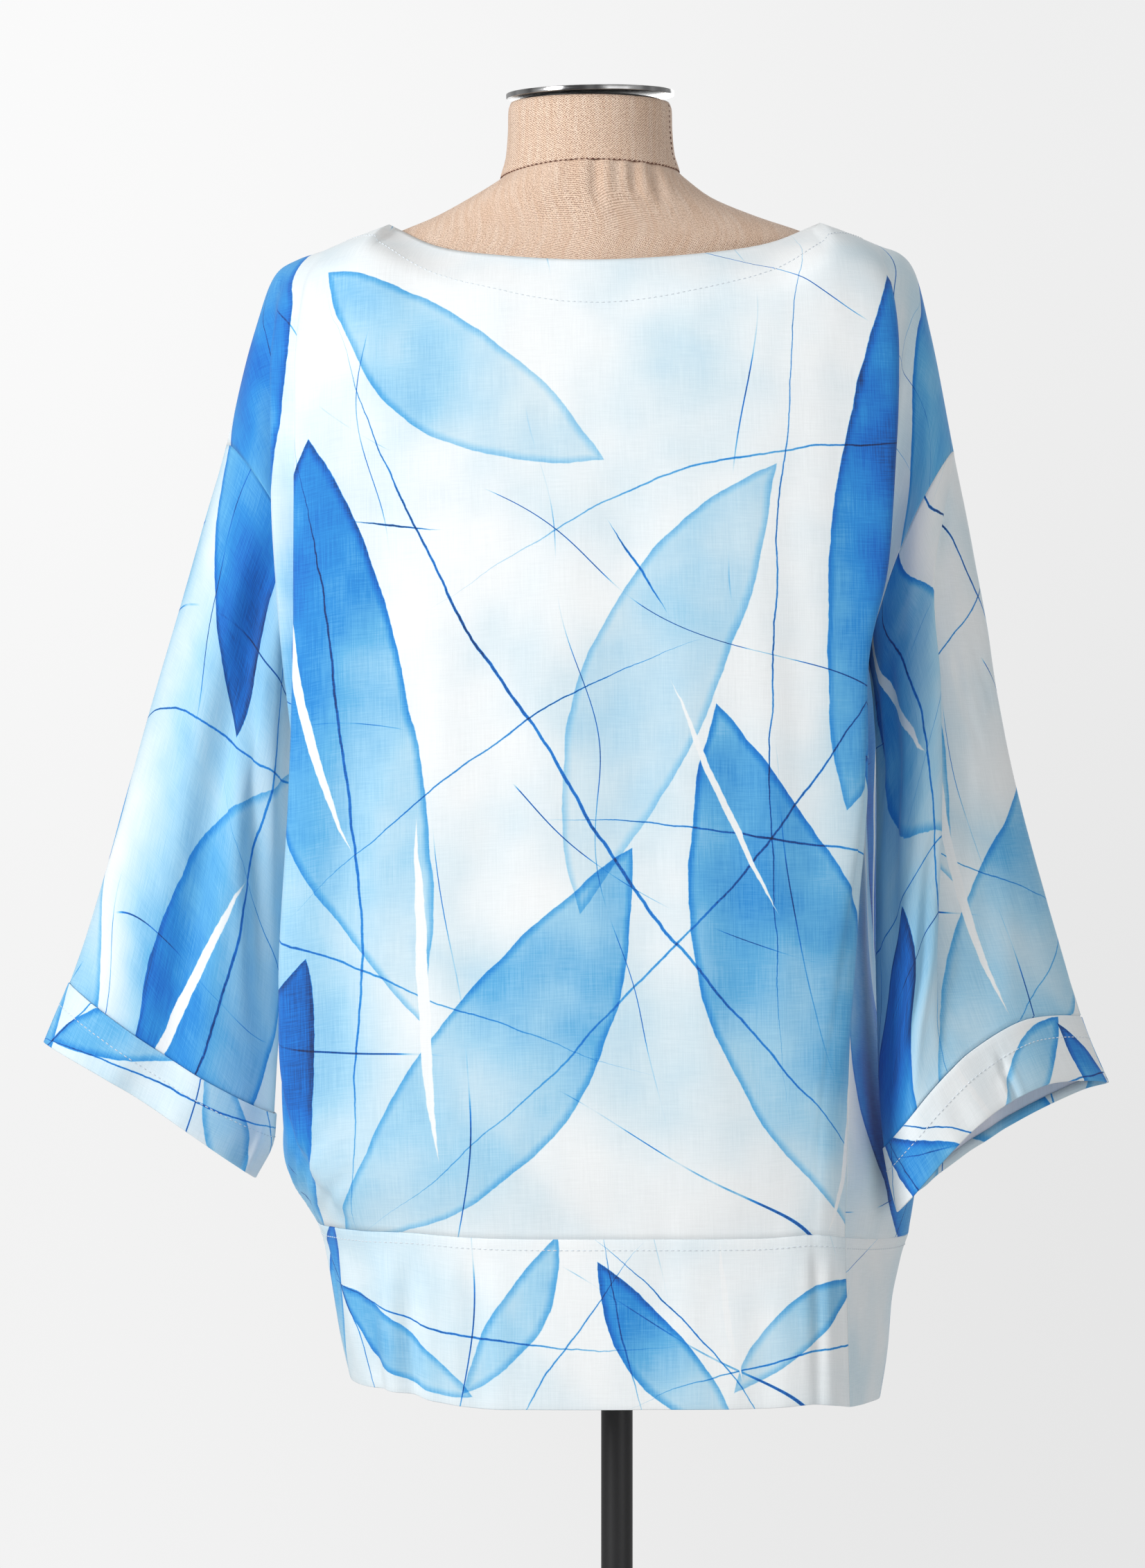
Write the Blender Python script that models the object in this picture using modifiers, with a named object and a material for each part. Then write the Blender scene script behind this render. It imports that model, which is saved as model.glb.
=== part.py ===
"""A boxy tunic blouse with dropped shoulders, worn by a limbless dress form on a pole.

Metres, +Z up. The origin is on the floor, under the middle of the base. The back of the
blouse faces -Y, and "left" and "right" are those of someone who looks at the back.
The tables hold centimetres, as a pattern maker writes them.
"""

from collections import namedtuple

import bpy
import numpy as np

CM = 0.01

# ---------------------------------------------------------------- cloth, seams and sampling
CLOTH = 0.0012  # thickness of the cloth wall
SEAM_GAP = 0.0008  # between the middles of two walls that meet at a seam
SIDE_GAP = 0.0015  # the same at the armholes and side seams, which bend sharply at the underarm
SHOULDER_GAP = 0.0014  # the same at the shoulder seam, where the walls meet at an angle
UNDERARM_SPREAD = 0.0022  # the sleeve starts this far outside the body where the cloth doubles back
UNDERARM_REACH = 2  # for how many points of the armhole, either way from the underarm
STEPS_ACROSS = 1  # extra points between two named points of a body section
STEPS_ROUND = 1  # the same, round a sleeve

# ---------------------------------------------------------------- the dress form
REST_GAP = 0.0003  # between two pieces that rest on each other
BASE_RADIUS, BASE_EDGE, BASE_HEIGHT = 0.165, 0.006, 0.022
POLE_RADIUS = 0.0106
FORM_SIDES = 32  # faces round the torso and the neck
COLLAR_RADIUS, COLLAR_HEIGHT = 0.022, 0.060
NECK_BASE_Z, NECK_TOP_Z = 1.4950, 1.5385
NECK_X = -0.018  # the neck stands to one side of the pole, because the form is turned
NECK_WAIST, NECK_BACK, NECK_FRONT = 0.0545, 0.0525, 0.0505  # half width and depths at its top
# From the seam up: share of the height, and how far the neck is drawn in there.
NeckLevel = namedtuple("NeckLevel", "share pinch")
NECK_LEVELS = [NeckLevel(0.0, 0.0), NeckLevel(0.25, 0.0018), NeckLevel(0.6, 0.0015),
               NeckLevel(0.93, 0.0003), NeckLevel(1.0, 0.0013)]
PLATE_RADIUS, PLATE_HEIGHT = 0.0490, 0.0012
DISC_RADIUS, DISC_HEIGHT = 0.0563, 0.0032
DISC_TILT = (0.012, -0.006)  # radians about X and Y

# Half widths and depths of the torso, from the lower edge up to the neck seam.
Torso = namedtuple("Torso", "z middle half_width back front squareness")
TORSO = [
    Torso(80.0, -0.2, 15.6, 10.0, 9.4, 2.3),
    Torso(84.0, -0.2, 16.6, 10.9, 10.2, 2.3),
    Torso(91.0, -0.3, 16.8, 11.3, 10.2, 2.2),
    Torso(99.0, -0.5, 15.4, 9.8, 9.6, 2.2),
    Torso(107.0, -0.7, 13.4, 8.3, 8.8, 2.2),
    Torso(114.0, -0.9, 13.2, 8.2, 9.4, 2.2),
    Torso(121.0, -1.1, 14.6, 9.2, 11.6, 2.2),
    Torso(128.0, -1.2, 16.4, 10.0, 12.0, 2.1),
    Torso(134.0, -1.4, 17.6, 10.1, 9.8, 2.0),
    Torso(138.5, -1.5, 18.2, 8.9, 7.6, 1.8),
    Torso(141.2, -1.6, 18.0, 7.8, 6.3, 1.6),
    Torso(143.2, -1.6, 17.0, 6.9, 5.6, 1.45),
    Torso(144.4, -1.1, 15.5, 6.4, 5.3, 1.45),
    Torso(145.3, -1.1, 13.4, 6.2, 5.2, 1.45),
    Torso(146.3, -1.4, 10.7, 6.1, 5.2, 1.6),
    Torso(147.5, -1.75, 8.1, 6.0, 5.3, 1.9),
    Torso(148.6, -1.8, 6.8, 5.9, 5.3, 2.0),
    Torso(149.5, -1.8, 6.0, 5.8, 5.3, 2.0),
]

# ---------------------------------------------------------------- the blouse: levels
# Below the underarm a level is a height. Above it, it is a share of the way from the
# underarm to the shoulder seam or the neckline, because those run downhill.
UNDERARM_Z = 117.0
LOW_LEVELS = [78.7, 83.0, 88.0, 95.0, 106.0, UNDERARM_Z]
HIGH_SHARES = [0.18, 0.35, 0.55, 0.75, 0.90, 1.0]

# Middle of the back and of the front, level by level.
Middle = namedtuple("Middle", "x back front")
MIDDLES = [
    Middle(-0.5, -12.4, 12.6),
    Middle(-0.6, -12.9, 13.2),
    Middle(-0.7, -12.9, 13.4),
    Middle(-0.8, -12.7, 13.4),
    Middle(-0.9, -12.6, 13.6),
    Middle(-1.0, -12.4, 13.9),
    Middle(-1.1, -12.2, 13.9),
    Middle(-1.2, -11.9, 13.6),
    Middle(-1.3, -11.5, 12.5),
    Middle(-1.4, -10.7, 10.6),
    Middle(-1.5, -9.6, 8.6),
    Middle(-1.6, -8.2, 6.7),
]
NECK_BACK_Z, NECK_FRONT_Z = 142.6, 140.9
# The hem hangs lower at the right side: how much, from where on, and how high up it tells.
SIDE_DROP, DROP_FROM, DROP_TO, DROP_TOP = 1.3, 11.0, 19.0, 100.0

# Neckline between its middle and its corner: share of the way out, and places.
Neck = namedtuple("Neck", "x y_back y_front z_back z_front")
NECKLINE = {
    "left": [Neck(-6.8, -7.3, 6.3, 142.9, 141.2), Neck(-11.6, -5.1, 4.7, 143.7, 142.7)],
    "right": [Neck(4.4, -7.3, 6.3, 143.0, 141.3), Neck(9.6, -5.1, 4.7, 143.9, 142.9)],
}

# Shoulder seam, from the neck corner out to the top of the armhole.
Crest = namedtuple("Crest", "x z")
CREST = {
    "left": [Crest(-15.2, 145.7), Crest(-18.2, 144.5), Crest(-19.8, 143.9),
             Crest(-21.3, 143.4), Crest(-22.8, 142.5), Crest(-24.3, 138.5),
             Crest(-26.2, 130.9)],
    "right": [Crest(13.5, 145.8), Crest(16.4, 144.7), Crest(17.8, 144.2),
              Crest(18.9, 143.8), Crest(19.8, 142.9), Crest(21.0, 138.6),
              Crest(22.6, 130.4)],
}

# Armhole seam: its points from the underarm (level share 0) up to, not with, the top.
Hole = namedtuple("Hole", "x y z")
ARMHOLE = {
    ("left", "back"): [Hole(-19.0, 1.5, 117.0), Hole(-19.9, -1.8, 119.6), Hole(-21.1, -3.9, 123.0),
                       Hole(-22.7, -4.7, 126.6), Hole(-24.4, -4.1, 129.2), Hole(-25.7, -2.1, 130.7)],
    ("left", "front"): [Hole(-19.0, 1.5, 117.0), Hole(-19.8, 3.9, 119.6), Hole(-21.0, 5.2, 123.0),
                        Hole(-22.7, 5.4, 126.6), Hole(-24.4, 4.4, 129.1), Hole(-25.7, 2.2, 130.6)],
    ("right", "back"): [Hole(16.8, 1.5, 117.0), Hole(17.4, -1.7, 119.4), Hole(18.4, -3.5, 122.8),
                        Hole(19.9, -4.4, 126.4), Hole(21.3, -3.9, 128.9), Hole(22.3, -2.0, 130.3)],
    ("right", "front"): [Hole(16.8, 1.5, 117.0), Hole(17.5, 3.9, 119.4), Hole(18.6, 5.2, 122.8),
                         Hole(20.0, 5.4, 126.4), Hole(21.4, 4.4, 128.8), Hole(22.3, 2.2, 130.2)],
}
# Side seams below the underarm, from the hem band up to the level under the underarm.
# The right one has swung round to the back.
Seam = namedtuple("Seam", "x y")
SIDE_SEAM = {
    "left": [Seam(-20.0, 1.0), Seam(-21.9, 1.4), Seam(-21.6, 1.5), Seam(-20.4, 1.5), Seam(-19.5, 1.5)],
    "right": [Seam(14.8, -9.7), Seam(14.9, -9.9), Seam(15.0, -9.8), Seam(15.3, -9.0), Seam(15.9, -4.5)],
}

# Folds at the side of each half panel, a row for each level from the hem band up, without
# the shoulder seam. edge: where the panel turns under. fold: the small roll beside it.
# deep: the bottom of the fold between body and arm. arm: the roll of the upper arm.
# tuck: how far the cloth between edge and fold is drawn in under the edge.
Fold = namedtuple("Fold", "edge_x edge_y fold_x fold_y deep_x deep_y arm_x arm_y tuck", defaults=(0.0,))
FOLDS = {
    ("left", "back"): [
        Fold(-16.4, -9.6, -18.4, -7.3, -19.6, -4.6, -20.0, -1.8),
        Fold(-20.0, -9.6, -21.2, -7.2, -21.9, -4.4, -22.1, -1.5, 0.2),
        Fold(-21.9, -9.1, -22.1, -6.9, -21.9, -4.2, -21.8, -1.4, 0.5),
        Fold(-22.2, -9.3, -21.3, -6.9, -20.8, -4.2, -20.6, -1.4, 0.7),
        Fold(-21.6, -9.7, -20.7, -7.3, -20.0, -4.4, -19.7, -1.4, 0.8),
        Fold(-21.2, -9.8, -20.4, -7.4, -19.6, -4.6, -19.2, -1.5, 0.9),
        Fold(-21.2, -9.7, -21.2, -7.4, -19.8, -4.4, -19.5, -2.0, 1.0),
        Fold(-21.2, -9.5, -22.3, -6.9, -20.7, -3.7, -20.5, -3.4, 1.2),
        Fold(-21.2, -9.1, -22.9, -6.6, -21.9, -3.9, -22.6, -4.3, 1.1),
        Fold(-21.0, -8.2, -22.9, -5.6, -22.7, -3.9, -24.0, -3.9, 0.7),
        Fold(-20.2, -6.2, -22.3, -3.6, -23.1, -2.6, -24.5, -2.4, 0.2),
    ],
    ("right", "back"): [
        Fold(12.2, -11.3, 13.2, -11.0, 13.9, -10.6, 14.4, -10.2),
        Fold(12.4, -11.6, 13.4, -11.3, 14.1, -10.9, 14.6, -10.4),
        Fold(12.8, -11.6, 13.7, -11.2, 14.3, -10.8, 14.7, -10.3),
        Fold(13.9, -11.2, 14.9, -10.6, 15.3, -10.2, 15.4, -9.6),
        Fold(15.9, -10.7, 16.3, -9.4, 16.2, -7.9, 16.0, -6.2, 0.2),
        Fold(16.5, -10.2, 16.5, -8.4, 16.3, -5.4, 16.5, -2.2, 0.4),
        Fold(17.6, -9.9, 17.3, -8.0, 16.9, -5.0, 17.0, -2.4, 0.6),
        Fold(18.0, -9.5, 17.6, -7.5, 17.5, -4.4, 17.8, -3.2, 0.8),
        Fold(18.3, -8.9, 18.1, -6.8, 18.5, -4.2, 19.3, -4.0, 0.9),
        Fold(18.4, -7.9, 18.5, -6.0, 19.1, -3.9, 20.4, -3.7, 0.8),
        Fold(17.8, -6.2, 18.7, -4.4, 19.5, -3.0, 20.9, -2.3, 0.5),
    ],
    ("left", "front"): [
        Fold(-14.6, 9.8, -17.0, 7.9, -18.8, 5.7, -19.8, 3.2),
        Fold(-16.6, 10.4, -19.2, 8.6, -20.9, 6.4, -21.8, 3.8),
        Fold(-18.2, 10.7, -20.2, 8.7, -21.2, 6.4, -21.6, 3.9, 0.2),
        Fold(-19.2, 10.9, -20.5, 8.7, -20.6, 6.4, -20.5, 4.0, 0.3),
        Fold(-19.8, 11.1, -20.7, 8.9, -20.2, 6.6, -19.7, 4.1, 0.5),
        Fold(-20.2, 11.1, -20.6, 8.9, -19.7, 6.6, -19.2, 4.1, 0.7),
        Fold(-20.4, 10.8, -20.9, 8.7, -19.8, 6.4, -19.4, 4.5, 0.7),
        Fold(-20.6, 10.0, -21.4, 8.0, -20.4, 5.6, -20.6, 5.0, 0.7),
        Fold(-20.6, 8.9, -22.0, 6.9, -21.6, 4.9, -22.5, 5.0, 0.6),
        Fold(-20.2, 7.2, -22.2, 5.2, -22.7, 4.0, -24.0, 4.1, 0.4),
        Fold(-19.6, 5.0, -21.6, 3.6, -23.0, 2.7, -24.5, 2.4),
    ],
    ("right", "front"): [
        Fold(14.2, 9.8, 18.4, 6.6, 19.7, 2.0, 17.6, -3.6),
        Fold(14.8, 10.4, 19.2, 7.2, 20.2, 2.2, 17.6, -3.8),
        Fold(15.4, 10.7, 18.4, 7.6, 18.8, 2.4, 17.0, -3.6),
        Fold(15.8, 10.9, 17.9, 7.8, 17.3, 2.6, 16.5, -3.2),
        Fold(16.4, 11.1, 17.8, 8.2, 17.0, 4.0, 16.4, -0.6, 0.3),
        Fold(17.0, 11.1, 18.0, 8.8, 17.3, 6.4, 17.0, 4.0, 0.5),
        Fold(17.2, 10.8, 18.3, 8.5, 17.6, 6.2, 17.2, 4.4, 0.6),
        Fold(17.4, 10.0, 18.8, 7.8, 18.1, 5.5, 18.2, 5.0, 0.6),
        Fold(17.4, 8.9, 19.2, 6.8, 19.0, 4.8, 19.8, 5.0, 0.5),
        Fold(17.2, 7.2, 19.2, 5.2, 19.5, 4.0, 20.6, 4.1, 0.4),
        Fold(16.8, 5.0, 18.6, 3.6, 19.5, 2.6, 20.9, 2.4),
    ],
}
# Where the plain part of a half panel has its points, as shares of the way to the edge,
# and how the section bends there.
PLAIN_SHARES = (0.33, 0.6, 0.82)
PLAIN_BEND = 3.0

# ---------------------------------------------------------------- the hem band
# Its folds, from its upper to its lower edge, in the order and with the names of FOLDS.
BAND_LEVELS = [78.6, 77.2, 74.5, 71.0, 67.7]
BAND_MIDDLES = [Middle(-0.5, -12.3, 12.5), Middle(-0.5, -12.3, 12.5), Middle(-0.5, -12.4, 12.6),
                Middle(-0.5, -12.6, 12.8), Middle(-0.5, -12.6, 12.8)]
BAND_SEAM = {
    "left": [Seam(-19.9, 1.0), Seam(-19.4, 1.0), Seam(-18.9, 1.0), Seam(-18.4, 1.0), Seam(-17.7, 1.0)],
    "right": [Seam(14.8, -9.6), Seam(14.8, -9.5), Seam(14.9, -9.4), Seam(15.0, -9.4), Seam(15.1, -9.3)],
}
BAND_FOLDS = {
    ("left", "back"): [
        Fold(-16.3, -9.5, -18.3, -7.2, -19.5, -4.5, -19.9, -1.7),
        Fold(-15.8, -9.6, -17.8, -7.2, -19.0, -4.5, -19.4, -1.7),
        Fold(-15.4, -9.9, -17.4, -7.5, -18.5, -4.7, -18.9, -1.8),
        Fold(-15.0, -10.2, -16.9, -7.8, -18.0, -4.9, -18.4, -1.9),
        Fold(-14.6, -10.0, -16.3, -7.7, -17.3, -4.8, -17.7, -1.9),
    ],
    ("right", "back"): [
        Fold(12.2, -11.2, 13.2, -10.9, 13.9, -10.5, 14.4, -10.1),
        Fold(12.2, -11.2, 13.2, -10.8, 13.9, -10.4, 14.4, -10.0),
        Fold(12.3, -11.3, 13.3, -10.9, 14.0, -10.4, 14.5, -9.9),
        Fold(12.4, -11.4, 13.4, -11.0, 14.1, -10.5, 14.6, -9.9),
        Fold(12.5, -11.3, 13.5, -10.9, 14.2, -10.4, 14.7, -9.8),
    ],
    ("left", "front"): [
        Fold(-14.5, 9.7, -16.9, 7.8, -18.7, 5.6, -19.7, 3.1),
        Fold(-14.0, 9.8, -16.4, 7.8, -18.2, 5.6, -19.2, 3.1),
        Fold(-13.6, 10.1, -16.0, 8.0, -17.8, 5.7, -18.7, 3.2),
        Fold(-13.2, 10.4, -15.6, 8.2, -17.3, 5.8, -18.2, 3.3),
        Fold(-12.8, 10.2, -15.0, 8.1, -16.6, 5.7, -17.5, 3.3),
    ],
    ("right", "front"): [
        Fold(14.0, 9.7, 18.2, 6.5, 19.6, 2.0, 17.5, -3.6),
        Fold(13.6, 9.8, 17.8, 6.6, 19.1, 2.0, 17.3, -3.6),
        Fold(13.2, 10.1, 17.2, 6.8, 18.4, 1.8, 17.0, -3.8),
        Fold(12.9, 10.4, 16.9, 7.0, 18.1, 1.6, 16.9, -4.0),
        Fold(12.5, 10.2, 16.4, 6.9, 17.6, 1.5, 16.6, -4.0),
    ],
}

# ---------------------------------------------------------------- sleeves and cuffs
# A ring runs from the outer line round the back to the inner line and round the front.
# Its places are given as shares of the way across, and depths to the back or the front.
Ring = namedtuple("Ring", "outer_x outer_z inner_x inner_y inner_z back front sag")
Place = namedtuple("Place", "across depth")
SLEEVE_RINGS = {
    "left": [
        Ring(-27.4, 126.7, -19.9, 1.2, 113.6, 5.0, 5.6, 0.0),
        Ring(-29.3, 120.0, -20.6, 0.6, 108.2, 5.2, 5.4, 0.0),
        Ring(-31.6, 112.0, -21.6, 0.2, 101.8, 4.9, 5.0, 0.0),
        Ring(-34.1, 103.0, -22.5, 0.0, 94.2, 4.3, 4.4, -0.2),
        Ring(-36.7, 94.9, -23.0, 0.0, 86.2, 3.7, 3.8, -0.5),
    ],
    "right": [
        Ring(23.4, 126.4, 17.3, 1.2, 113.6, 5.0, 5.6, 0.0),
        Ring(24.6, 120.0, 17.5, 0.2, 108.2, 5.3, 5.4, 0.3),
        Ring(26.3, 110.4, 17.4, -1.6, 100.8, 5.2, 5.0, 0.8),
        Ring(28.7, 101.0, 17.3, -3.6, 92.6, 4.8, 4.6, 1.4),
        Ring(31.1, 92.7, 17.6, -5.2, 84.2, 4.2, 4.2, 2.0),
    ],
}
SLEEVE_PLACES = {
    "left": [Place(0.10, -0.62), Place(0.32, -0.92), Place(0.50, -0.86), Place(0.66, -1.02),
             Place(0.88, -0.72),
             Place(0.90, 0.62), Place(0.72, 0.92), Place(0.50, 1.02), Place(0.30, 0.92),
             Place(0.10, 0.60)],
    "right": [Place(0.12, -0.42), Place(0.34, -0.56), Place(0.40, -0.92), Place(0.62, -1.08),
              Place(0.88, -0.72),
              Place(0.90, 0.62), Place(0.72, 0.92), Place(0.50, 1.02), Place(0.30, 0.92),
              Place(0.10, 0.60)],
}
CUFF_RINGS = {
    "left": [
        Ring(-36.75, 94.8, -22.9, 0.0, 86.0, 3.8, 3.9, -0.5),
        Ring(-37.6, 92.8, -23.1, 0.0, 84.0, 3.8, 3.9, -0.5),
        Ring(-38.4, 90.9, -24.2, 0.0, 81.8, 3.7, 3.9, -0.5),
    ],
    "right": [
        Ring(31.15, 92.5, 17.6, -5.25, 84.05, 4.3, 4.3, 2.0),
        Ring(32.0, 90.3, 18.0, -5.5, 82.0, 4.4, 4.4, 2.0),
        Ring(32.9, 88.2, 18.5, -5.8, 80.0, 4.4, 4.6, 1.9),
    ],
}

# ---------------------------------------------------------------- colours
Finish = namedtuple("Finish", "colour roughness metallic")
PRINT_BODY = Finish((0.66, 0.84, 0.93), 0.75, 0.0)
PRINT_SLEEVE = Finish((0.45, 0.72, 0.90), 0.75, 0.0)
PRINT_BAND = Finish((0.58, 0.78, 0.90), 0.75, 0.0)
LINEN = Finish((0.56, 0.42, 0.31), 0.90, 0.0)
STEEL = Finish((0.75, 0.75, 0.76), 0.22, 1.0)
BLACK = Finish((0.02, 0.02, 0.02), 0.45, 0.0)


# ================================================================ curves
def smooth_curve(points, steps, closed=False):
    """A centripetal Catmull-Rom curve through the points, with steps extra points in each span."""
    p = np.asarray(points, float)
    if closed:
        p = np.vstack([p[-1], p, p[0], p[1]])
    else:
        p = np.vstack([2 * p[0] - p[1], p, 2 * p[-1] - p[-2]])
    out = []
    for a, b, c, d in zip(p, p[1:], p[2:], p[3:]):
        knots = np.cumsum([0.0] + [max(np.linalg.norm(q - r), 1e-9) ** 0.5
                                   for q, r in ((b, a), (c, b), (d, c))])
        for k in range(steps + 1):
            t = knots[1] + (knots[2] - knots[1]) * k / (steps + 1)

            def mix(i, j, q, r):
                share = (t - knots[i]) / (knots[j] - knots[i])
                return q + (r - q) * share

            ab, bc, cd = mix(0, 1, a, b), mix(1, 2, b, c), mix(2, 3, c, d)
            out.append(mix(1, 2, mix(0, 2, ab, bc), mix(1, 3, bc, cd)))
    if not closed:
        out.append(p[-2])
    return np.array(out)


def straight_curve(points, steps):
    """The closed polygon through the points, with steps extra points on each side."""
    p = np.asarray(points, float)
    ways = np.roll(p, -1, axis=0) - p
    return np.array([q + way * k / (steps + 1) for q, way in zip(p, ways) for k in range(steps + 1)])


def cornered_curve(points, steps, corners):
    """A smooth curve that may turn sharply at the corners, which are places in the list."""
    ends = [0, *corners, len(points) - 1]
    parts = [smooth_curve(points[a:b + 1], steps) for a, b in zip(ends, ends[1:])]
    return np.vstack([part[:-1] for part in parts[:-1]] + [parts[-1]])


def draw_in(grid, first=0.0, last=0.0, top=0.0, bottom=0.0):
    """Shortens a grid at its edges, along its own lines, to leave room at a seam."""
    out = grid.copy()

    def pull(edge, inner, by):
        way = inner - edge
        return edge + way / np.linalg.norm(way, axis=-1, keepdims=True) * by

    if first:
        out[:, 0] = pull(out[:, 0], out[:, 1], first)
    if last:
        out[:, -1] = pull(out[:, -1], out[:, -2], last)
    if bottom:
        out[0] = pull(out[0], out[1], bottom)
    if top:
        out[-1] = pull(out[-1], out[-2], top)
    return out


# ================================================================ Blender objects
def clear_scene():
    for item in list(bpy.data.objects):
        bpy.data.objects.remove(item, do_unlink=True)


def new_collection(name):
    collection = bpy.data.collections.new(name)
    bpy.context.scene.collection.children.link(collection)
    return collection


def material(name, finish):
    made = bpy.data.materials.new(name)
    made.use_nodes = True
    shader = made.node_tree.nodes["Principled BSDF"]
    shader.inputs["Base Color"].default_value = (*finish.colour, 1.0)
    shader.inputs["Roughness"].default_value = finish.roughness
    shader.inputs["Metallic"].default_value = finish.metallic
    return made


def add_mesh(name, vertices, faces, finish, collection):
    mesh = bpy.data.meshes.new(name)
    mesh.from_pydata([tuple(v) for v in vertices], [], faces)
    mesh.update()
    mesh.shade_smooth()
    item = bpy.data.objects.new(name, mesh)
    mesh.materials.append(material(name, finish))
    collection.objects.link(item)
    return item


def add_cloth(name, grid, finish, collection, closed=False, outward=1):
    """An open sheet on a grid of points, made a wall by Solidify."""
    rows, columns = grid.shape[:2]
    faces = []
    for r in range(rows - 1):
        for c in range(columns if closed else columns - 1):
            d = (c + 1) % columns
            face = (r * columns + c, r * columns + d, (r + 1) * columns + d, (r + 1) * columns + c)
            faces.append(face if outward > 0 else face[::-1])
    item = add_mesh(name, grid.reshape(-1, 3), faces, finish, collection)
    wall = item.modifiers.new("Wall", "SOLIDIFY")
    wall.thickness = CLOTH
    wall.offset = 0.0
    wall.use_even_offset = False
    wall.use_rim = True
    return item


def add_turned(name, profile, finish, collection, sides=48):
    """A profile of (radius, z) points from the top to the bottom, turned about Z."""
    mesh = bpy.data.meshes.new(name)
    mesh.from_pydata([(r, 0.0, z) for r, z in profile], [(i, i + 1) for i in range(len(profile) - 1)], [])
    item = bpy.data.objects.new(name, mesh)
    mesh.materials.append(material(name, finish))
    collection.objects.link(item)
    screw = item.modifiers.new("Turn", "SCREW")
    screw.axis = "Z"
    screw.steps = screw.render_steps = sides
    screw.use_merge_vertices = True
    screw.merge_threshold = 0.00005
    screw.use_smooth_shade = True
    return item


# ================================================================ the blouse
def scaled(x, y, z):
    return np.array([x, y, z]) * CM


def ease(value, start, end):
    """Runs smoothly from 0 at start to 1 at end."""
    t = min(max((value - start) / (end - start), 0.0), 1.0)
    return t * t * (3 - 2 * t)


def hung(x, y, z):
    """A point of the lower body or the hem band, let down at the right side."""
    return scaled(x, y, z - SIDE_DROP * ease(x, DROP_FROM, DROP_TO) * ease(z, DROP_TOP, LOW_LEVELS[0]))


def plain_places(middle, edge):
    """Places of the plain part of a section, from its middle out to the edge of the fold."""
    return [(middle[0] + (edge[0] - middle[0]) * share,
             middle[1] + (edge[1] - middle[1]) * share ** PLAIN_BEND) for share in PLAIN_SHARES]


def tucked(fold):
    """The point between the edge and the fold, drawn in towards the body."""
    inward = -1 if fold.edge_x > 0 else 1
    return (fold.edge_x + fold.fold_x) / 2 + inward * fold.tuck, (fold.edge_y + fold.fold_y) / 2


def low_row(middle, face, fold, seam, z):
    """A level section of a half panel below the underarm, from its middle to its side seam."""
    y = getattr(middle, face)
    places = [(middle.x, y)] + plain_places((middle.x, y), (fold.edge_x, fold.edge_y))
    places += [(fold.edge_x, fold.edge_y), tucked(fold), (fold.fold_x, fold.fold_y),
               (fold.deep_x, fold.deep_y), (fold.arm_x, fold.arm_y), (seam.x, seam.y)]
    return [hung(px, py, z) for px, py in places]


def high_row(side, face, share, middle, fold, hole):
    """A section above the underarm. Each point is the same share of the way up its own line."""
    crest = CREST[side]
    top = NECK_BACK_Z if face == "back" else NECK_FRONT_Z

    def height(upper):
        return UNDERARM_Z + (upper - UNDERARM_Z) * share

    y = getattr(middle, face)
    places = [(middle.x, y)] + plain_places((middle.x, y), (fold.edge_x, fold.edge_y))
    places += [(fold.edge_x, fold.edge_y), tucked(fold), (fold.fold_x, fold.fold_y),
               (fold.deep_x, fold.deep_y), (fold.arm_x, fold.arm_y)]
    uppers = [top] + [getattr(n, "z_" + face) for n in NECKLINE[side]] + [c.z for c in crest[:-1]]
    row = [scaled(px, py, height(upper)) for (px, py), upper in zip(places, uppers)]
    return row + [scaled(hole.x, hole.y, hole.z)]


def top_row(side, face, middle):
    """The neckline and the shoulder seam."""
    z = NECK_BACK_Z if face == "back" else NECK_FRONT_Z
    row = [scaled(middle.x, getattr(middle, face), z)]
    row += [scaled(n.x, getattr(n, "y_" + face), getattr(n, "z_" + face)) for n in NECKLINE[side]]
    row += [scaled(c.x, 0.0, c.z) for c in CREST[side]]
    return row


def half_panel(side, face):
    """The net of named points of half a panel, from the hem band up, from the middle out."""
    folds = FOLDS[side, face]
    holes = ARMHOLE[side, face]
    seams = SIDE_SEAM[side]
    low = len(LOW_LEVELS)
    rows = []
    for i, z in enumerate(LOW_LEVELS[:-1]):
        rows.append(low_row(MIDDLES[i], face, folds[i], seams[i], z))
    rows.append(low_row(MIDDLES[low - 1], face, folds[low - 1], Seam(*holes[0][:2]), UNDERARM_Z))
    for i, share in enumerate(HIGH_SHARES[:-1]):
        rows.append(high_row(side, face, share, MIDDLES[low + i], folds[low + i], holes[i + 1]))
    rows.append(top_row(side, face, MIDDLES[-1]))
    return rows


def whole_rows(left, right):
    """Joins two half nets at the middle, which they share."""
    return [list(reversed(a)) + b[1:] for a, b in zip(left, right)]


def add_panel(name, face, finish, collection):
    left, right = half_panel("left", face), half_panel("right", face)
    rows = whole_rows(left, right)
    corner = len(PLAIN_SHARES)
    corners = (len(left[0]) - 1 - corner, len(left[0]) - 1 + corner)
    grid = np.array([smooth_curve(row, STEPS_ACROSS) for row in rows[:-1]]
                    + [cornered_curve(rows[-1], STEPS_ACROSS, corners)])
    side = SIDE_GAP / 2
    grid = draw_in(grid, side, side, top=SHOULDER_GAP / 2, bottom=SEAM_GAP / 2)
    return add_cloth(name, grid, finish, collection, outward=1 if face == "back" else -1)


def band_half(side, face):
    rows = []
    for i, z in enumerate(BAND_LEVELS):
        rows.append(low_row(BAND_MIDDLES[i], face, BAND_FOLDS[side, face][i], BAND_SEAM[side][i], z))
    return rows[::-1]


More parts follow.
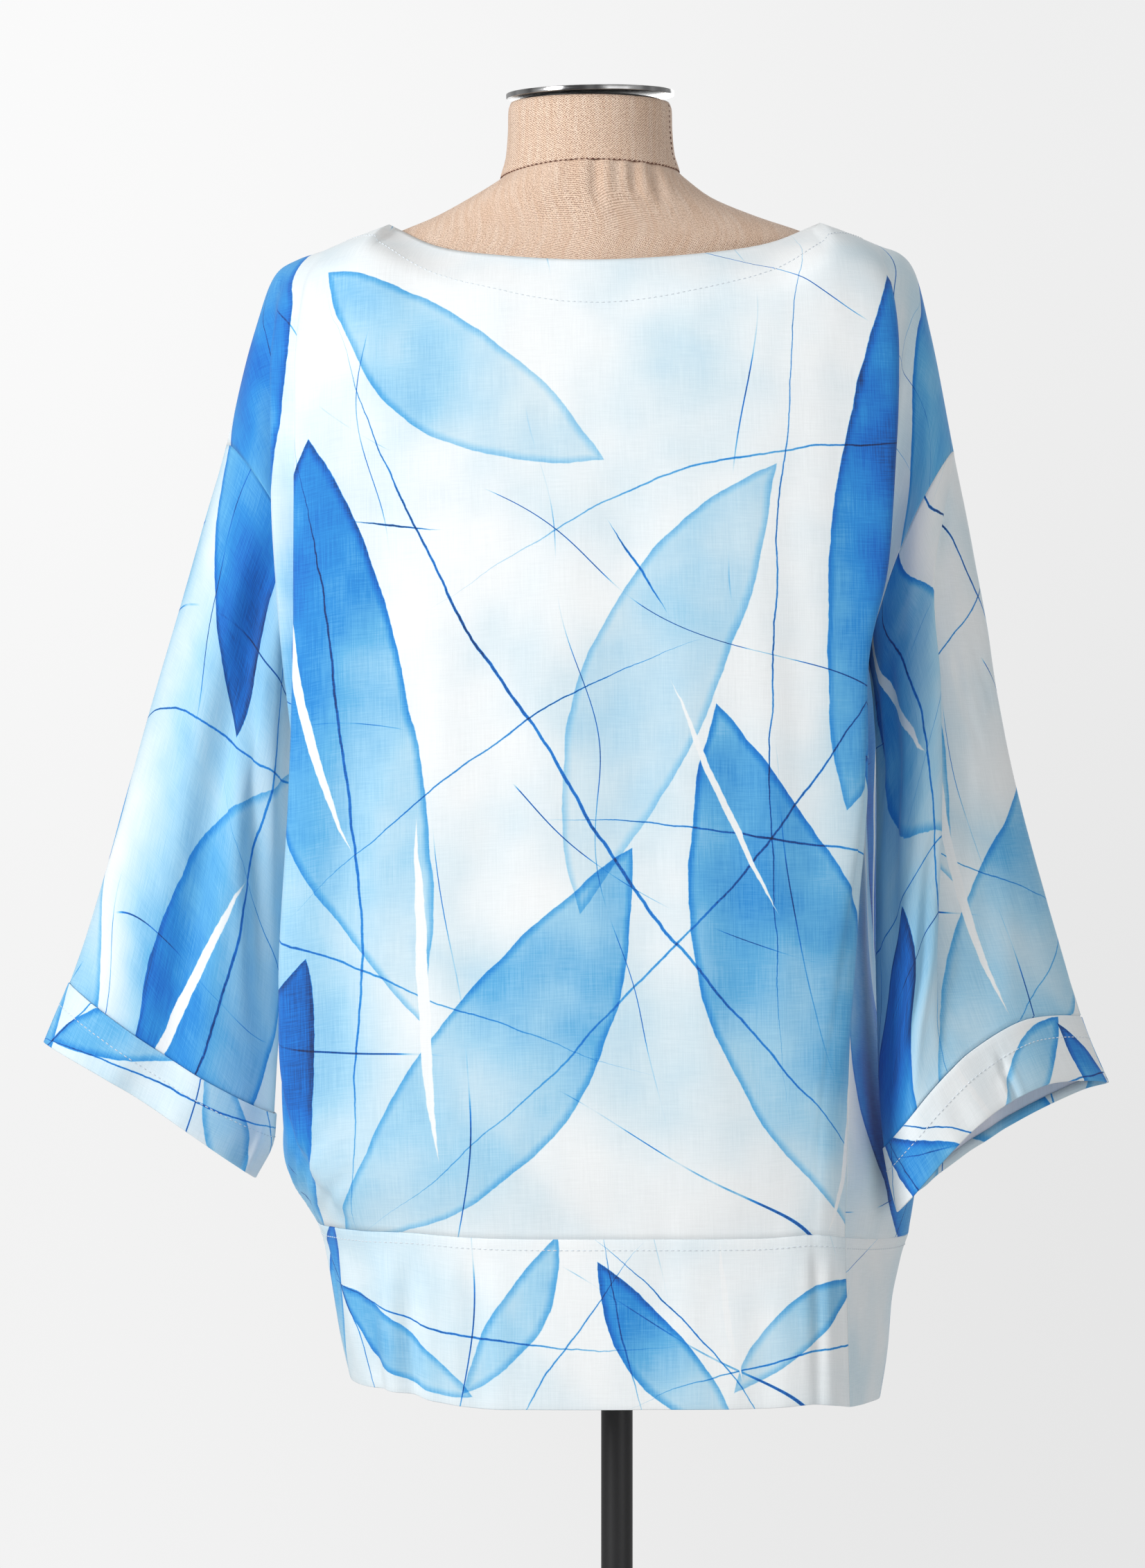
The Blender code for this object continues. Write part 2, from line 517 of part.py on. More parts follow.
def add_band(name, face, finish, collection):
    rows = whole_rows(band_half("left", face), band_half("right", face))
    grid = np.array([smooth_curve(row, STEPS_ACROSS) for row in rows])
    half = SEAM_GAP / 2
    grid = draw_in(grid, half, half, top=half)
    return add_cloth(name, grid, finish, collection, outward=1 if face == "back" else -1)


def armhole_ring(side):
    """The armhole seam as a ring: top, down the back to the underarm, up the front."""
    crest = CREST[side][-1]
    top = scaled(crest.x, 0.0, crest.z)
    back = [scaled(*h) for h in ARMHOLE[side, "back"]]
    front = [scaled(*h) for h in ARMHOLE[side, "front"]]
    return [top] + back[:0:-1] + [back[0]] + front[1:]


def tube_ring(ring, places):
    outer = scaled(ring.outer_x, 0.0, ring.outer_z)
    inner = scaled(ring.inner_x, ring.inner_y, ring.inner_z)
    points = []
    for place in places:
        depth = ring.back if place.depth < 0 else ring.front
        lift = ring.sag * CM * 4 * place.across * (1 - place.across)
        point = outer + (inner - outer) * place.across
        point = point + np.array([0.0, place.depth * depth * CM, lift if place.depth < 0 else 0.3 * lift])
        points.append(point)
    half = len(points) // 2
    return [outer] + points[:half] + [inner] + points[half:]


def add_tube(name, grid, finish, collection, side, top, bottom=0.0):
    grid = draw_in(grid, bottom=top, top=bottom)
    return add_cloth(name, grid, finish, collection, closed=True, outward=-1 if side == "left" else 1)


def sleeve_start(side):
    """The sleeve's first ring: the armhole seam, moved off the body round the underarm."""
    ring = straight_curve(armhole_ring(side), STEPS_ROUND)
    outward = -1 if side == "left" else 1
    half, reach = len(ring) // 2, UNDERARM_REACH * (STEPS_ROUND + 1)
    for i in range(half - reach, half + reach + 1):
        spread = UNDERARM_SPREAD * (1 - abs(i - half) / (reach + 1))
        ring[i] += (outward * spread, 0.0, -0.5 * spread)
    return ring


def add_sleeve(side, collection):
    rings = [tube_ring(r, SLEEVE_PLACES[side]) for r in SLEEVE_RINGS[side]]
    grid = np.array([sleeve_start(side)] + [smooth_curve(ring, STEPS_ROUND, closed=True) for ring in rings])
    return add_tube("sleeve_" + side, grid, PRINT_SLEEVE, collection, side, SIDE_GAP / 2, SEAM_GAP / 2)


def add_cuff(side, collection):
    rings = [tube_ring(r, SLEEVE_PLACES[side]) for r in CUFF_RINGS[side]]
    grid = np.array([smooth_curve(ring, STEPS_ROUND, closed=True) for ring in rings])
    return add_tube("cuff_" + side, grid, PRINT_BAND, collection, side, SEAM_GAP / 2)


# ================================================================ the dress form
def oval(level, count):
    """A section of the torso: an oval that is deeper on one side than on the other."""
    points = []
    for i in range(count):
        turn = 2 * np.pi * i / count
        c, s = np.cos(turn), np.sin(turn)
        power = 2.0 / level.squareness
        depth = level.front if s > 0 else level.back
        points.append(scaled(level.middle + level.half_width * np.sign(c) * abs(c) ** power,
                             depth * np.sign(s) * abs(s) ** power, level.z))
    return points


def add_loft(name, rings, finish, collection):
    """A closed body through level rings, flat at both ends."""
    count = len(rings[0])
    vertices = [p for ring in rings for p in ring]
    faces = [tuple(range(count))[::-1],
             tuple(range((len(rings) - 1) * count, len(rings) * count))]
    for r in range(len(rings) - 1):
        for c in range(count):
            d = (c + 1) % count
            faces.append((r * count + c, r * count + d, (r + 1) * count + d, (r + 1) * count + c))
    return add_mesh(name, vertices, faces, finish, collection)


def add_torso(collection):
    return add_loft("form_torso", [oval(level, FORM_SIDES) for level in TORSO], LINEN, collection)


def add_neck(collection):
    foot = Torso(*TORSO[-1])._replace(z=(NECK_BASE_Z + SEAM_GAP) / CM)
    top = Torso(*(v / CM for v in (NECK_TOP_Z, NECK_X, NECK_WAIST, NECK_BACK, NECK_FRONT)), foot.squareness)
    rings = []
    for share, pinch in NECK_LEVELS:
        level = Torso(*(a + (b - a) * share for a, b in zip(foot, top)))
        level = level._replace(half_width=level.half_width - pinch / CM,
                               back=level.back - pinch / CM, front=level.front - pinch / CM)
        rings.append(oval(level, FORM_SIDES))
    return add_loft("form_neck", rings, LINEN, collection)


def add_neck_cap(collection):
    plate_bottom = NECK_TOP_Z + REST_GAP
    plate = add_turned("neck_plate", [(0.0, PLATE_HEIGHT), (PLATE_RADIUS, PLATE_HEIGHT),
                                      (PLATE_RADIUS, 0.0), (0.0, 0.0)], BLACK, collection, 40)
    plate.location = (NECK_X, 0.0, plate_bottom)
    half = DISC_HEIGHT / 2
    bevel = DISC_HEIGHT * 0.3
    rim = [(0.0, half), (DISC_RADIUS - bevel, half), (DISC_RADIUS, half - bevel),
           (DISC_RADIUS, bevel - half), (DISC_RADIUS - bevel, -half), (0.0, -half)]
    disc = add_turned("neck_disc", rim, STEEL, collection, 48)
    drop = PLATE_RADIUS * (abs(DISC_TILT[0]) + abs(DISC_TILT[1]))
    disc.location = (NECK_X, 0.0, plate_bottom + PLATE_HEIGHT + half + drop + REST_GAP)
    disc.rotation_euler = (*DISC_TILT, 0.0)


def add_stand(collection):
    top = TORSO[0].z * CM - REST_GAP
    foot = BASE_HEIGHT + REST_GAP
    collar = [(COLLAR_RADIUS * 0.9, foot + COLLAR_HEIGHT * 0.93),
              (COLLAR_RADIUS, foot + COLLAR_HEIGHT * 0.8),
              (COLLAR_RADIUS, foot)]
    pole = [(0.0, top), (POLE_RADIUS, top), (POLE_RADIUS, foot + COLLAR_HEIGHT)] + collar + [(0.0, foot)]
    add_turned("pole", pole, BLACK, collection, 32)
    base = [(0.0, BASE_HEIGHT), (COLLAR_RADIUS * 1.6, BASE_HEIGHT),
            (BASE_RADIUS * 0.55, BASE_HEIGHT * 0.72), (BASE_RADIUS * 0.93, BASE_EDGE * 1.35),
            (BASE_RADIUS, BASE_EDGE * 0.8), (BASE_RADIUS, 0.0), (0.0, 0.0)]
    add_turned("base", base, BLACK, collection, 56)


def main():
    clear_scene()
    parts = new_collection("blouse_on_dress_form")
    add_torso(parts)
    add_neck(parts)
    add_neck_cap(parts)
    add_stand(parts)
    add_panel("back_panel", "back", PRINT_BODY, parts)
    add_panel("front_panel", "front", PRINT_BODY, parts)
    add_band("hem_band_back", "back", PRINT_BAND, parts)
    add_band("hem_band_front", "front", PRINT_BAND, parts)
    for side in ("left", "right"):
        add_sleeve(side, parts)
        add_cuff(side, parts)


main()
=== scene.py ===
"""The looks of a loose printed blouse on its dress form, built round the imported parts.

Metres, +Z up. The back of the blouse faces -Y and the camera. "left" and "right" are those
of someone who looks at the back. Tables of shapes hold centimetres, as a pattern maker writes
them. Everything else is in metres.

The tables repeat the named points of the part's own source, but for these: the upper fold at the
left of the back, the lip and sag of the right sleeve and the sag of both cuffs are closer here to
real cloth, and one neck corner is 2 mm higher to clear the form. The neck disc tilts more, too.
"""

from collections import namedtuple

import bpy
import numpy as np
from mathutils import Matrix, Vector


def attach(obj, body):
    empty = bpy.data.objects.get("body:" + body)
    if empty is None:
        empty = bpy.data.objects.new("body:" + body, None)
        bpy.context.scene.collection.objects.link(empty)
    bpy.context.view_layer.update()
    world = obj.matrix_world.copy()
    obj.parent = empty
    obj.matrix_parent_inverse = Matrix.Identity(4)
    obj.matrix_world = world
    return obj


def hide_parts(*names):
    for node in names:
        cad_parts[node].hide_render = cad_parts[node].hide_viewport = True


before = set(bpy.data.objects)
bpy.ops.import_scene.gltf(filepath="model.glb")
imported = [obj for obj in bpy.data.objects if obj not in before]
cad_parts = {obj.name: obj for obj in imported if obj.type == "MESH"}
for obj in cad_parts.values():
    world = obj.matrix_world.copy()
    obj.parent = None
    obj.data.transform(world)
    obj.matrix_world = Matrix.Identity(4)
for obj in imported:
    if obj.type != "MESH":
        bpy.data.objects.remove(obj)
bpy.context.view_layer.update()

CM = 0.01

# ---------------------------------------------------------------- cloth and sampling
CLOTH = 0.0006  # thickness of the shown shell
BAND_PROUD = 0.0007  # how far a cuff or the hem band stands out from the cloth above it
SEAM_TUCK = 0.0025  # how far the cloth above a band goes on behind it
COARSE = 1.0
PLAIN_STEP = 0.0044 * COARSE  # spacing of the mesh in the plain parts
FOLD_STEP = 0.0026 * COARSE  # and at the folds
LEVEL_STEP = 0.0042 * COARSE  # and up and down

# ---------------------------------------------------------------- the dress form
BASE_RADIUS, BASE_EDGE, BASE_HEIGHT = 0.165, 0.006, 0.022
POLE_RADIUS = 0.0106
COLLAR_RADIUS, COLLAR_HEIGHT = 0.022, 0.060
NECK_BASE_Z, NECK_TOP_Z = 1.4950, 1.5385
NECK_X = -0.018
NECK_WAIST, NECK_BACK, NECK_FRONT = 0.0545, 0.0525, 0.0505
NeckLevel = namedtuple("NeckLevel", "share pinch")
NECK_LEVELS = [NeckLevel(0.0, 0.0), NeckLevel(0.25, 0.0018), NeckLevel(0.6, 0.0015),
               NeckLevel(0.93, 0.0003), NeckLevel(1.0, 0.0013)]
PLATE_RADIUS, PLATE_HEIGHT = 0.0490, 0.0012
DISC_RADIUS, DISC_HEIGHT = 0.0563, 0.0032
DISC_TILT = (0.030, -0.020)

# Half widths and depths of the torso, from the lower edge up to the neck seam.
Torso = namedtuple("Torso", "z middle half_width back front squareness")
TORSO = [
    Torso(80.0, -0.2, 15.6, 10.0, 9.4, 2.3),
    Torso(84.0, -0.2, 16.6, 10.9, 10.2, 2.3),
    Torso(91.0, -0.3, 16.8, 11.3, 10.2, 2.2),
    Torso(99.0, -0.5, 15.4, 9.8, 9.6, 2.2),
    Torso(107.0, -0.7, 13.4, 8.3, 8.8, 2.2),
    Torso(114.0, -0.9, 13.2, 8.2, 9.4, 2.2),
    Torso(121.0, -1.1, 14.6, 9.2, 11.6, 2.2),
    Torso(128.0, -1.2, 16.4, 10.0, 12.0, 2.1),
    Torso(134.0, -1.4, 17.6, 10.1, 9.8, 2.0),
    Torso(138.5, -1.5, 18.2, 8.9, 7.6, 1.8),
    Torso(141.2, -1.6, 18.0, 7.8, 6.3, 1.6),
    Torso(143.2, -1.6, 17.0, 6.9, 5.6, 1.45),
    Torso(144.4, -1.1, 15.5, 6.4, 5.3, 1.45),
    Torso(145.3, -1.1, 13.4, 6.2, 5.2, 1.45),
    Torso(146.3, -1.4, 10.7, 6.1, 5.2, 1.6),
    Torso(147.5, -1.75, 8.1, 6.0, 5.3, 1.9),
    Torso(148.6, -1.8, 6.8, 5.9, 5.3, 2.0),
    Torso(149.5, -1.8, 6.0, 5.8, 5.3, 2.0),
]

# ---------------------------------------------------------------- the blouse: levels
UNDERARM_Z = 117.0
LOW_LEVELS = [78.7, 83.0, 88.0, 95.0, 106.0, UNDERARM_Z]
HIGH_SHARES = [0.18, 0.35, 0.55, 0.75, 0.90, 1.0]
Middle = namedtuple("Middle", "x back front")
MIDDLES = [
    Middle(-0.5, -12.4, 12.6),
    Middle(-0.6, -12.9, 13.2),
    Middle(-0.7, -12.9, 13.4),
    Middle(-0.8, -12.7, 13.4),
    Middle(-0.9, -12.6, 13.6),
    Middle(-1.0, -12.4, 13.9),
    Middle(-1.1, -12.2, 13.9),
    Middle(-1.2, -11.9, 13.6),
    Middle(-1.3, -11.5, 12.5),
    Middle(-1.4, -10.7, 10.6),
    Middle(-1.5, -9.6, 8.6),
    Middle(-1.6, -8.2, 6.7),
]
NECK_BACK_Z, NECK_FRONT_Z = 142.6, 140.9
SIDE_DROP, DROP_FROM, DROP_TO, DROP_TOP = 1.3, 11.0, 19.0, 100.0
# How the hem seam is drawn up at each side, and the lower edge at the left further still: by how
# much, and from which to which distance from the middle.
Lift = namedtuple("Lift", "by start end")
SEAM_LIFT = {"left": Lift(0.3, 8.0, 14.0), "right": Lift(0.5, 9.0, 15.0)}
EDGE_LIFTS = [Lift(0.2, 9.0, 12.5), Lift(0.45, 13.0, 14.4)]
Neck = namedtuple("Neck", "x y_back y_front z_back z_front")
NECKLINE = {
    "left": [Neck(-6.8, -7.3, 6.3, 142.9, 141.2), Neck(-11.6, -5.1, 4.8, 143.7, 142.9)],
    "right": [Neck(4.4, -7.3, 6.3, 143.0, 141.3), Neck(9.6, -5.1, 4.7, 143.9, 142.9)],
}
Crest = namedtuple("Crest", "x z")
CREST = {
    "left": [Crest(-15.2, 145.7), Crest(-18.2, 144.5), Crest(-19.8, 143.9),
             Crest(-21.3, 143.4), Crest(-22.8, 142.5), Crest(-24.3, 138.5),
             Crest(-26.2, 130.9)],
    "right": [Crest(13.5, 145.8), Crest(16.4, 144.7), Crest(17.8, 144.2),
              Crest(18.9, 143.8), Crest(19.8, 142.9), Crest(21.0, 138.6),
              Crest(22.6, 130.4)],
}
Hole = namedtuple("Hole", "x y z")
ARMHOLE = {
    ("left", "back"): [Hole(-19.0, 1.5, 117.0), Hole(-19.9, -1.8, 119.6), Hole(-21.1, -3.9, 123.0),
                       Hole(-22.7, -4.7, 126.6), Hole(-24.4, -4.1, 129.2), Hole(-25.7, -2.1, 130.7)],
    ("left", "front"): [Hole(-19.0, 1.5, 117.0), Hole(-19.8, 3.9, 119.6), Hole(-21.0, 5.2, 123.0),
                        Hole(-22.7, 5.4, 126.6), Hole(-24.4, 4.4, 129.1), Hole(-25.7, 2.2, 130.6)],
    ("right", "back"): [Hole(16.8, 1.5, 117.0), Hole(17.4, -1.7, 119.4), Hole(18.4, -3.5, 122.8),
                        Hole(19.9, -4.4, 126.4), Hole(21.3, -3.9, 128.9), Hole(22.3, -2.0, 130.3)],
    ("right", "front"): [Hole(16.8, 1.5, 117.0), Hole(17.5, 3.9, 119.4), Hole(18.6, 5.2, 122.8),
                         Hole(20.0, 5.4, 126.4), Hole(21.4, 4.4, 128.8), Hole(22.3, 2.2, 130.2)],
}
Seam = namedtuple("Seam", "x y")
SIDE_SEAM = {
    "left": [Seam(-20.0, 1.0), Seam(-21.9, 1.4), Seam(-21.6, 1.5), Seam(-20.4, 1.5), Seam(-19.5, 1.5)],
    "right": [Seam(14.8, -9.7), Seam(14.9, -9.9), Seam(15.0, -9.8), Seam(15.3, -9.0), Seam(15.9, -4.5)],
}

# Folds at the side of each half panel. edge: where the panel turns under. fold: the small
# roll beside it. deep: the bottom of the fold between body and arm. arm: the roll of the
# upper arm. tuck: how far the cloth between edge and fold is drawn in under the edge.
Fold = namedtuple("Fold", "edge_x edge_y fold_x fold_y deep_x deep_y arm_x arm_y tuck", defaults=(0.0,))
FOLDS = {
    ("left", "back"): [
        Fold(-16.4, -9.6, -18.4, -7.3, -19.6, -4.6, -20.0, -1.8),
        Fold(-20.0, -9.6, -21.2, -7.2, -21.9, -4.4, -22.1, -1.5, 0.2),
        Fold(-21.9, -9.1, -22.1, -6.9, -21.9, -4.2, -21.8, -1.4, 0.5),
        Fold(-22.2, -9.3, -21.3, -6.9, -20.8, -4.2, -20.6, -1.4, 0.7),
        Fold(-21.6, -9.7, -21.0, -7.3, -20.0, -4.4, -19.7, -1.4, 0.9),
        Fold(-21.2, -9.8, -22.1, -7.6, -19.6, -5.2, -19.2, -1.5, 1.3),
        Fold(-21.2, -9.7, -22.5, -7.6, -20.1, -4.9, -19.7, -2.2, 1.4),
        Fold(-21.2, -9.5, -22.8, -7.2, -20.9, -4.4, -20.5, -3.4, 1.4),
        Fold(-21.2, -9.1, -22.9, -6.8, -21.6, -4.2, -22.6, -4.3, 1.3),
        Fold(-21.0, -8.2, -22.9, -5.7, -22.4, -4.0, -24.0, -3.9, 0.9),
        Fold(-20.2, -6.2, -22.3, -3.7, -22.9, -2.6, -24.5, -2.4, 0.4),
    ],
    ("right", "back"): [
        Fold(12.2, -11.3, 13.2, -11.0, 13.9, -10.6, 14.4, -10.2),
        Fold(12.4, -11.6, 13.4, -11.3, 14.1, -10.9, 14.6, -10.4),
        Fold(12.8, -11.6, 13.7, -11.2, 14.3, -10.8, 14.7, -10.3),
        Fold(13.9, -11.2, 14.9, -10.6, 15.3, -10.2, 15.4, -9.6),
        Fold(15.9, -10.7, 16.3, -9.4, 16.2, -7.9, 16.0, -6.2, 0.2),
        Fold(16.5, -10.2, 16.5, -8.4, 16.3, -5.4, 16.5, -2.2, 0.4),
        Fold(17.6, -9.9, 17.3, -8.0, 16.9, -5.0, 17.0, -2.4, 0.6),
        Fold(18.0, -9.5, 17.6, -7.5, 17.5, -4.4, 17.8, -3.2, 0.8),
        Fold(18.3, -8.9, 18.1, -6.8, 18.5, -4.2, 19.3, -4.0, 0.9),
        Fold(18.4, -7.9, 18.5, -6.0, 19.1, -3.9, 20.4, -3.7, 0.8),
        Fold(17.8, -6.2, 18.7, -4.4, 19.5, -3.0, 20.9, -2.3, 0.5),
    ],
    ("left", "front"): [
        Fold(-14.6, 9.8, -17.0, 7.9, -18.8, 5.7, -19.8, 3.2),
        Fold(-16.6, 10.4, -19.2, 8.6, -20.9, 6.4, -21.8, 3.8),
        Fold(-18.2, 10.7, -20.2, 8.7, -21.2, 6.4, -21.6, 3.9, 0.2),
        Fold(-19.2, 10.9, -20.5, 8.7, -20.6, 6.4, -20.5, 4.0, 0.3),
        Fold(-19.8, 11.1, -20.7, 8.9, -20.2, 6.6, -19.7, 4.1, 0.5),
        Fold(-20.2, 11.1, -20.6, 8.9, -19.7, 6.6, -19.2, 4.1, 0.7),
        Fold(-20.4, 10.8, -20.9, 8.7, -19.8, 6.4, -19.4, 4.5, 0.7),
        Fold(-20.6, 10.0, -21.4, 8.0, -20.4, 5.6, -20.6, 5.0, 0.7),
        Fold(-20.6, 8.9, -22.0, 6.9, -21.6, 4.9, -22.5, 5.0, 0.6),
        Fold(-20.2, 7.2, -22.2, 5.2, -22.7, 4.0, -24.0, 4.1, 0.4),
        Fold(-19.6, 5.0, -21.6, 3.6, -23.0, 2.7, -24.5, 2.4),
    ],
    ("right", "front"): [
        Fold(14.2, 9.8, 18.4, 6.6, 19.7, 2.0, 17.6, -3.6),
        Fold(14.8, 10.4, 19.2, 7.2, 20.2, 2.2, 17.6, -3.8),
        Fold(15.4, 10.7, 18.4, 7.6, 18.8, 2.4, 17.0, -3.6),
        Fold(15.8, 10.9, 17.9, 7.8, 17.3, 2.6, 16.5, -3.2),
        Fold(16.4, 11.1, 17.8, 8.2, 17.0, 4.0, 16.4, -0.6, 0.3),
        Fold(17.0, 11.1, 18.0, 8.8, 17.3, 6.4, 17.0, 4.0, 0.5),
        Fold(17.2, 10.8, 18.3, 8.5, 17.6, 6.2, 17.2, 4.4, 0.6),
        Fold(17.4, 10.0, 18.8, 7.8, 18.1, 5.5, 18.2, 5.0, 0.6),
        Fold(17.4, 8.9, 19.2, 6.8, 19.0, 4.8, 19.8, 5.0, 0.5),
        Fold(17.2, 7.2, 19.2, 5.2, 19.5, 4.0, 20.6, 4.1, 0.4),
        Fold(16.8, 5.0, 18.6, 3.6, 19.5, 2.6, 20.9, 2.4),
    ],
}
PLAIN_SHARES = (0.33, 0.6, 0.82)
PLAIN_BEND = 3.0

# ---------------------------------------------------------------- the hem band
BAND_LEVELS = [78.6, 77.2, 74.5, 71.0, 67.7]
BAND_MIDDLES = [Middle(-0.5, -12.3, 12.5), Middle(-0.5, -12.3, 12.5), Middle(-0.5, -12.4, 12.6),
                Middle(-0.5, -12.6, 12.8), Middle(-0.5, -12.6, 12.8)]
BAND_SEAM = {
    "left": [Seam(-19.9, 1.0), Seam(-19.4, 1.0), Seam(-18.9, 1.0), Seam(-18.4, 1.0), Seam(-17.7, 1.0)],
    "right": [Seam(14.8, -9.6), Seam(14.8, -9.5), Seam(14.9, -9.4), Seam(15.0, -9.4), Seam(15.1, -9.3)],
}
BAND_FOLDS = {
    ("left", "back"): [
        Fold(-16.3, -9.5, -18.3, -7.2, -19.5, -4.5, -19.9, -1.7),
        Fold(-15.8, -9.6, -17.8, -7.2, -19.0, -4.5, -19.4, -1.7),
        Fold(-15.4, -9.9, -17.4, -7.5, -18.5, -4.7, -18.9, -1.8),
        Fold(-15.0, -10.2, -16.9, -7.8, -18.0, -4.9, -18.4, -1.9),
        Fold(-14.6, -10.0, -16.3, -7.7, -17.3, -4.8, -17.7, -1.9),
    ],
    ("right", "back"): [
        Fold(12.2, -11.2, 13.2, -10.9, 13.9, -10.5, 14.4, -10.1),
        Fold(12.2, -11.2, 13.2, -10.8, 13.9, -10.4, 14.4, -10.0),
        Fold(12.3, -11.3, 13.3, -10.9, 14.0, -10.4, 14.5, -9.9),
        Fold(12.4, -11.4, 13.4, -11.0, 14.1, -10.5, 14.6, -9.9),
        Fold(12.5, -11.3, 13.5, -10.9, 14.2, -10.4, 14.7, -9.8),
    ],
    ("left", "front"): [
        Fold(-14.5, 9.7, -16.9, 7.8, -18.7, 5.6, -19.7, 3.1),
        Fold(-14.0, 9.8, -16.4, 7.8, -18.2, 5.6, -19.2, 3.1),
        Fold(-13.6, 10.1, -16.0, 8.0, -17.8, 5.7, -18.7, 3.2),
        Fold(-13.2, 10.4, -15.6, 8.2, -17.3, 5.8, -18.2, 3.3),
        Fold(-12.8, 10.2, -15.0, 8.1, -16.6, 5.7, -17.5, 3.3),
    ],
    ("right", "front"): [
        Fold(14.0, 9.7, 18.2, 6.5, 19.6, 2.0, 17.5, -3.6),
        Fold(13.6, 9.8, 17.8, 6.6, 19.1, 2.0, 17.3, -3.6),
        Fold(13.2, 10.1, 17.2, 6.8, 18.4, 1.8, 17.0, -3.8),
        Fold(12.9, 10.4, 16.9, 7.0, 18.1, 1.6, 16.9, -4.0),
        Fold(12.5, 10.2, 16.4, 6.9, 17.6, 1.5, 16.6, -4.0),
    ],
}

# ---------------------------------------------------------------- sleeves and cuffs
# lip: how far across the back of a ring a fold lies over the outer part. crisp: from 0, where the
# cloth is only bent there, to 1, where it is folded.
Ring = namedtuple("Ring", "outer_x outer_z inner_x inner_y inner_z back front sag lip crisp",
                  defaults=(0.0, 0.0))
Place = namedtuple("Place", "across depth")
SLEEVE_RINGS = {
    "left": [
        Ring(-27.4, 126.7, -19.9, 1.2, 113.6, 5.0, 5.6, 0.0),
        Ring(-29.3, 120.0, -20.6, 0.6, 108.2, 5.2, 5.4, 0.0),
        Ring(-31.6, 112.0, -21.6, 0.2, 101.8, 4.9, 5.0, 0.0),
        Ring(-34.1, 103.0, -22.5, 0.0, 94.2, 4.3, 4.4, -0.2),
        Ring(-36.7, 94.9, -23.0, 0.0, 86.2, 3.7, 3.8, -0.5),
    ],
    "right": [
        Ring(23.4, 126.4, 17.3, 1.2, 113.6, 5.0, 5.6, 0.0, 0.33, 0.85),
        Ring(24.6, 120.0, 17.5, 0.2, 108.2, 5.3, 5.4, 0.3, 0.46, 1.0),
        Ring(26.3, 110.4, 17.4, -1.6, 100.8, 5.2, 5.0, 1.1, 0.56, 1.0),
        Ring(28.7, 101.0, 17.3, -3.6, 92.6, 4.8, 4.6, 2.1, 0.68, 0.9),
        Ring(31.1, 92.7, 17.6, -5.2, 84.2, 4.2, 4.2, 3.0, 0.79, 0.2),
    ],
}
CUFF_RINGS = {
    "left": [
        Ring(-36.75, 94.8, -22.9, 0.0, 86.0, 3.8, 3.9, -0.5),
        Ring(-37.6, 92.8, -23.1, 0.0, 84.0, 3.8, 3.9, 0.1),
        Ring(-38.4, 90.9, -24.2, 0.0, 81.8, 3.7, 3.9, 0.6),
    ],
    "right": [
        Ring(31.15, 92.5, 17.6, -5.25, 84.05, 4.3, 4.3, 3.0, 0.79, 0.2),
        Ring(32.0, 90.3, 18.0, -5.5, 82.0, 4.4, 4.4, 3.1, 0.78, 0.1),
        Ring(32.9, 88.2, 18.5, -5.8, 80.0, 4.4, 4.6, 3.1, 0.76, 0.05),
    ],
}
SLEEVE_PLACES = {
    "left": [Place(0.10, -0.62), Place(0.32, -0.92), Place(0.50, -0.86), Place(0.66, -1.02),
             Place(0.88, -0.72),
             Place(0.90, 0.62), Place(0.72, 0.92), Place(0.50, 1.02), Place(0.30, 0.92),
             Place(0.10, 0.60)],
    "right": [Place(0.30, -0.66), Place(0.52, -0.90), Place(0.66, -0.98), Place(0.77, -0.96),
              Place(0.87, -0.84), Place(0.95, -0.55),
              Place(0.90, 0.62), Place(0.72, 0.92), Place(0.50, 1.02), Place(0.30, 0.92),
              Place(0.10, 0.60)],
}


# ================================================================ curves and grids
LEAST_DISTANCE = 1e-7  # taken for two points that coincide


def root_distance(a, b):
    return np.sqrt(np.maximum(np.linalg.norm(b - a, axis=-1, keepdims=True), LEAST_DISTANCE))


def span(a, b, c, d, count):
    """The samples of a centripetal Catmull-Rom curve from b up to c, with a and d as neighbours."""
    k1 = root_distance(a, b)
    k2 = k1 + root_distance(b, c)
    k3 = k2 + root_distance(c, d)
    share = np.arange(count).reshape(-1, *[1] * a.ndim) / count
    t = k1 + (k2 - k1) * share
    ab = a + (b - a) * t / k1
    bc = b + (c - b) * (t - k1) / (k2 - k1)
    cd = c + (d - c) * (t - k2) / (k3 - k2)
    abc = ab + (bc - ab) * t / k2
    bcd = bc + (cd - bc) * (t - k1) / (k3 - k1)
    return abc + (bcd - abc) * (t - k1) / (k2 - k1)


def through(points, counts, closed=False, lead=None, trail=None):
    """A smooth curve through points (first axis), with counts[i] samples in span i.

    The other axes hold as many curves side by side. lead and trail are the points before the
    first and after the last, where the curve goes on in another piece.
    """
    p = np.asarray(points, float)
    if closed:
        p = np.concatenate([p[-1:], p, p[:2]])
    else:
        lead = 2 * p[0] - p[1] if lead is None else lead
        trail = 2 * p[-1] - p[-2] if trail is None else trail
        p = np.concatenate([[lead], p, [trail]])
    out = [span(*p[i:i + 4], count) for i, count in enumerate(counts)]
    if not closed:
        out.append(p[-2][None])
    return np.concatenate(out)


def span_counts(points, spacing):
    """How many samples each span along the first axis needs, at one spacing or one for each."""
    lengths = np.linalg.norm(np.diff(points, axis=0), axis=-1)
    lengths = lengths.reshape(len(lengths), -1).mean(axis=1)
    return np.maximum(np.rint(lengths / spacing), 2).astype(int).tolist()


def arc(points):
    """The distance run along the first axis."""
    steps = np.linalg.norm(np.diff(points, axis=0), axis=-1)
    return np.concatenate([np.zeros_like(steps[:1]), np.cumsum(steps, axis=0)])


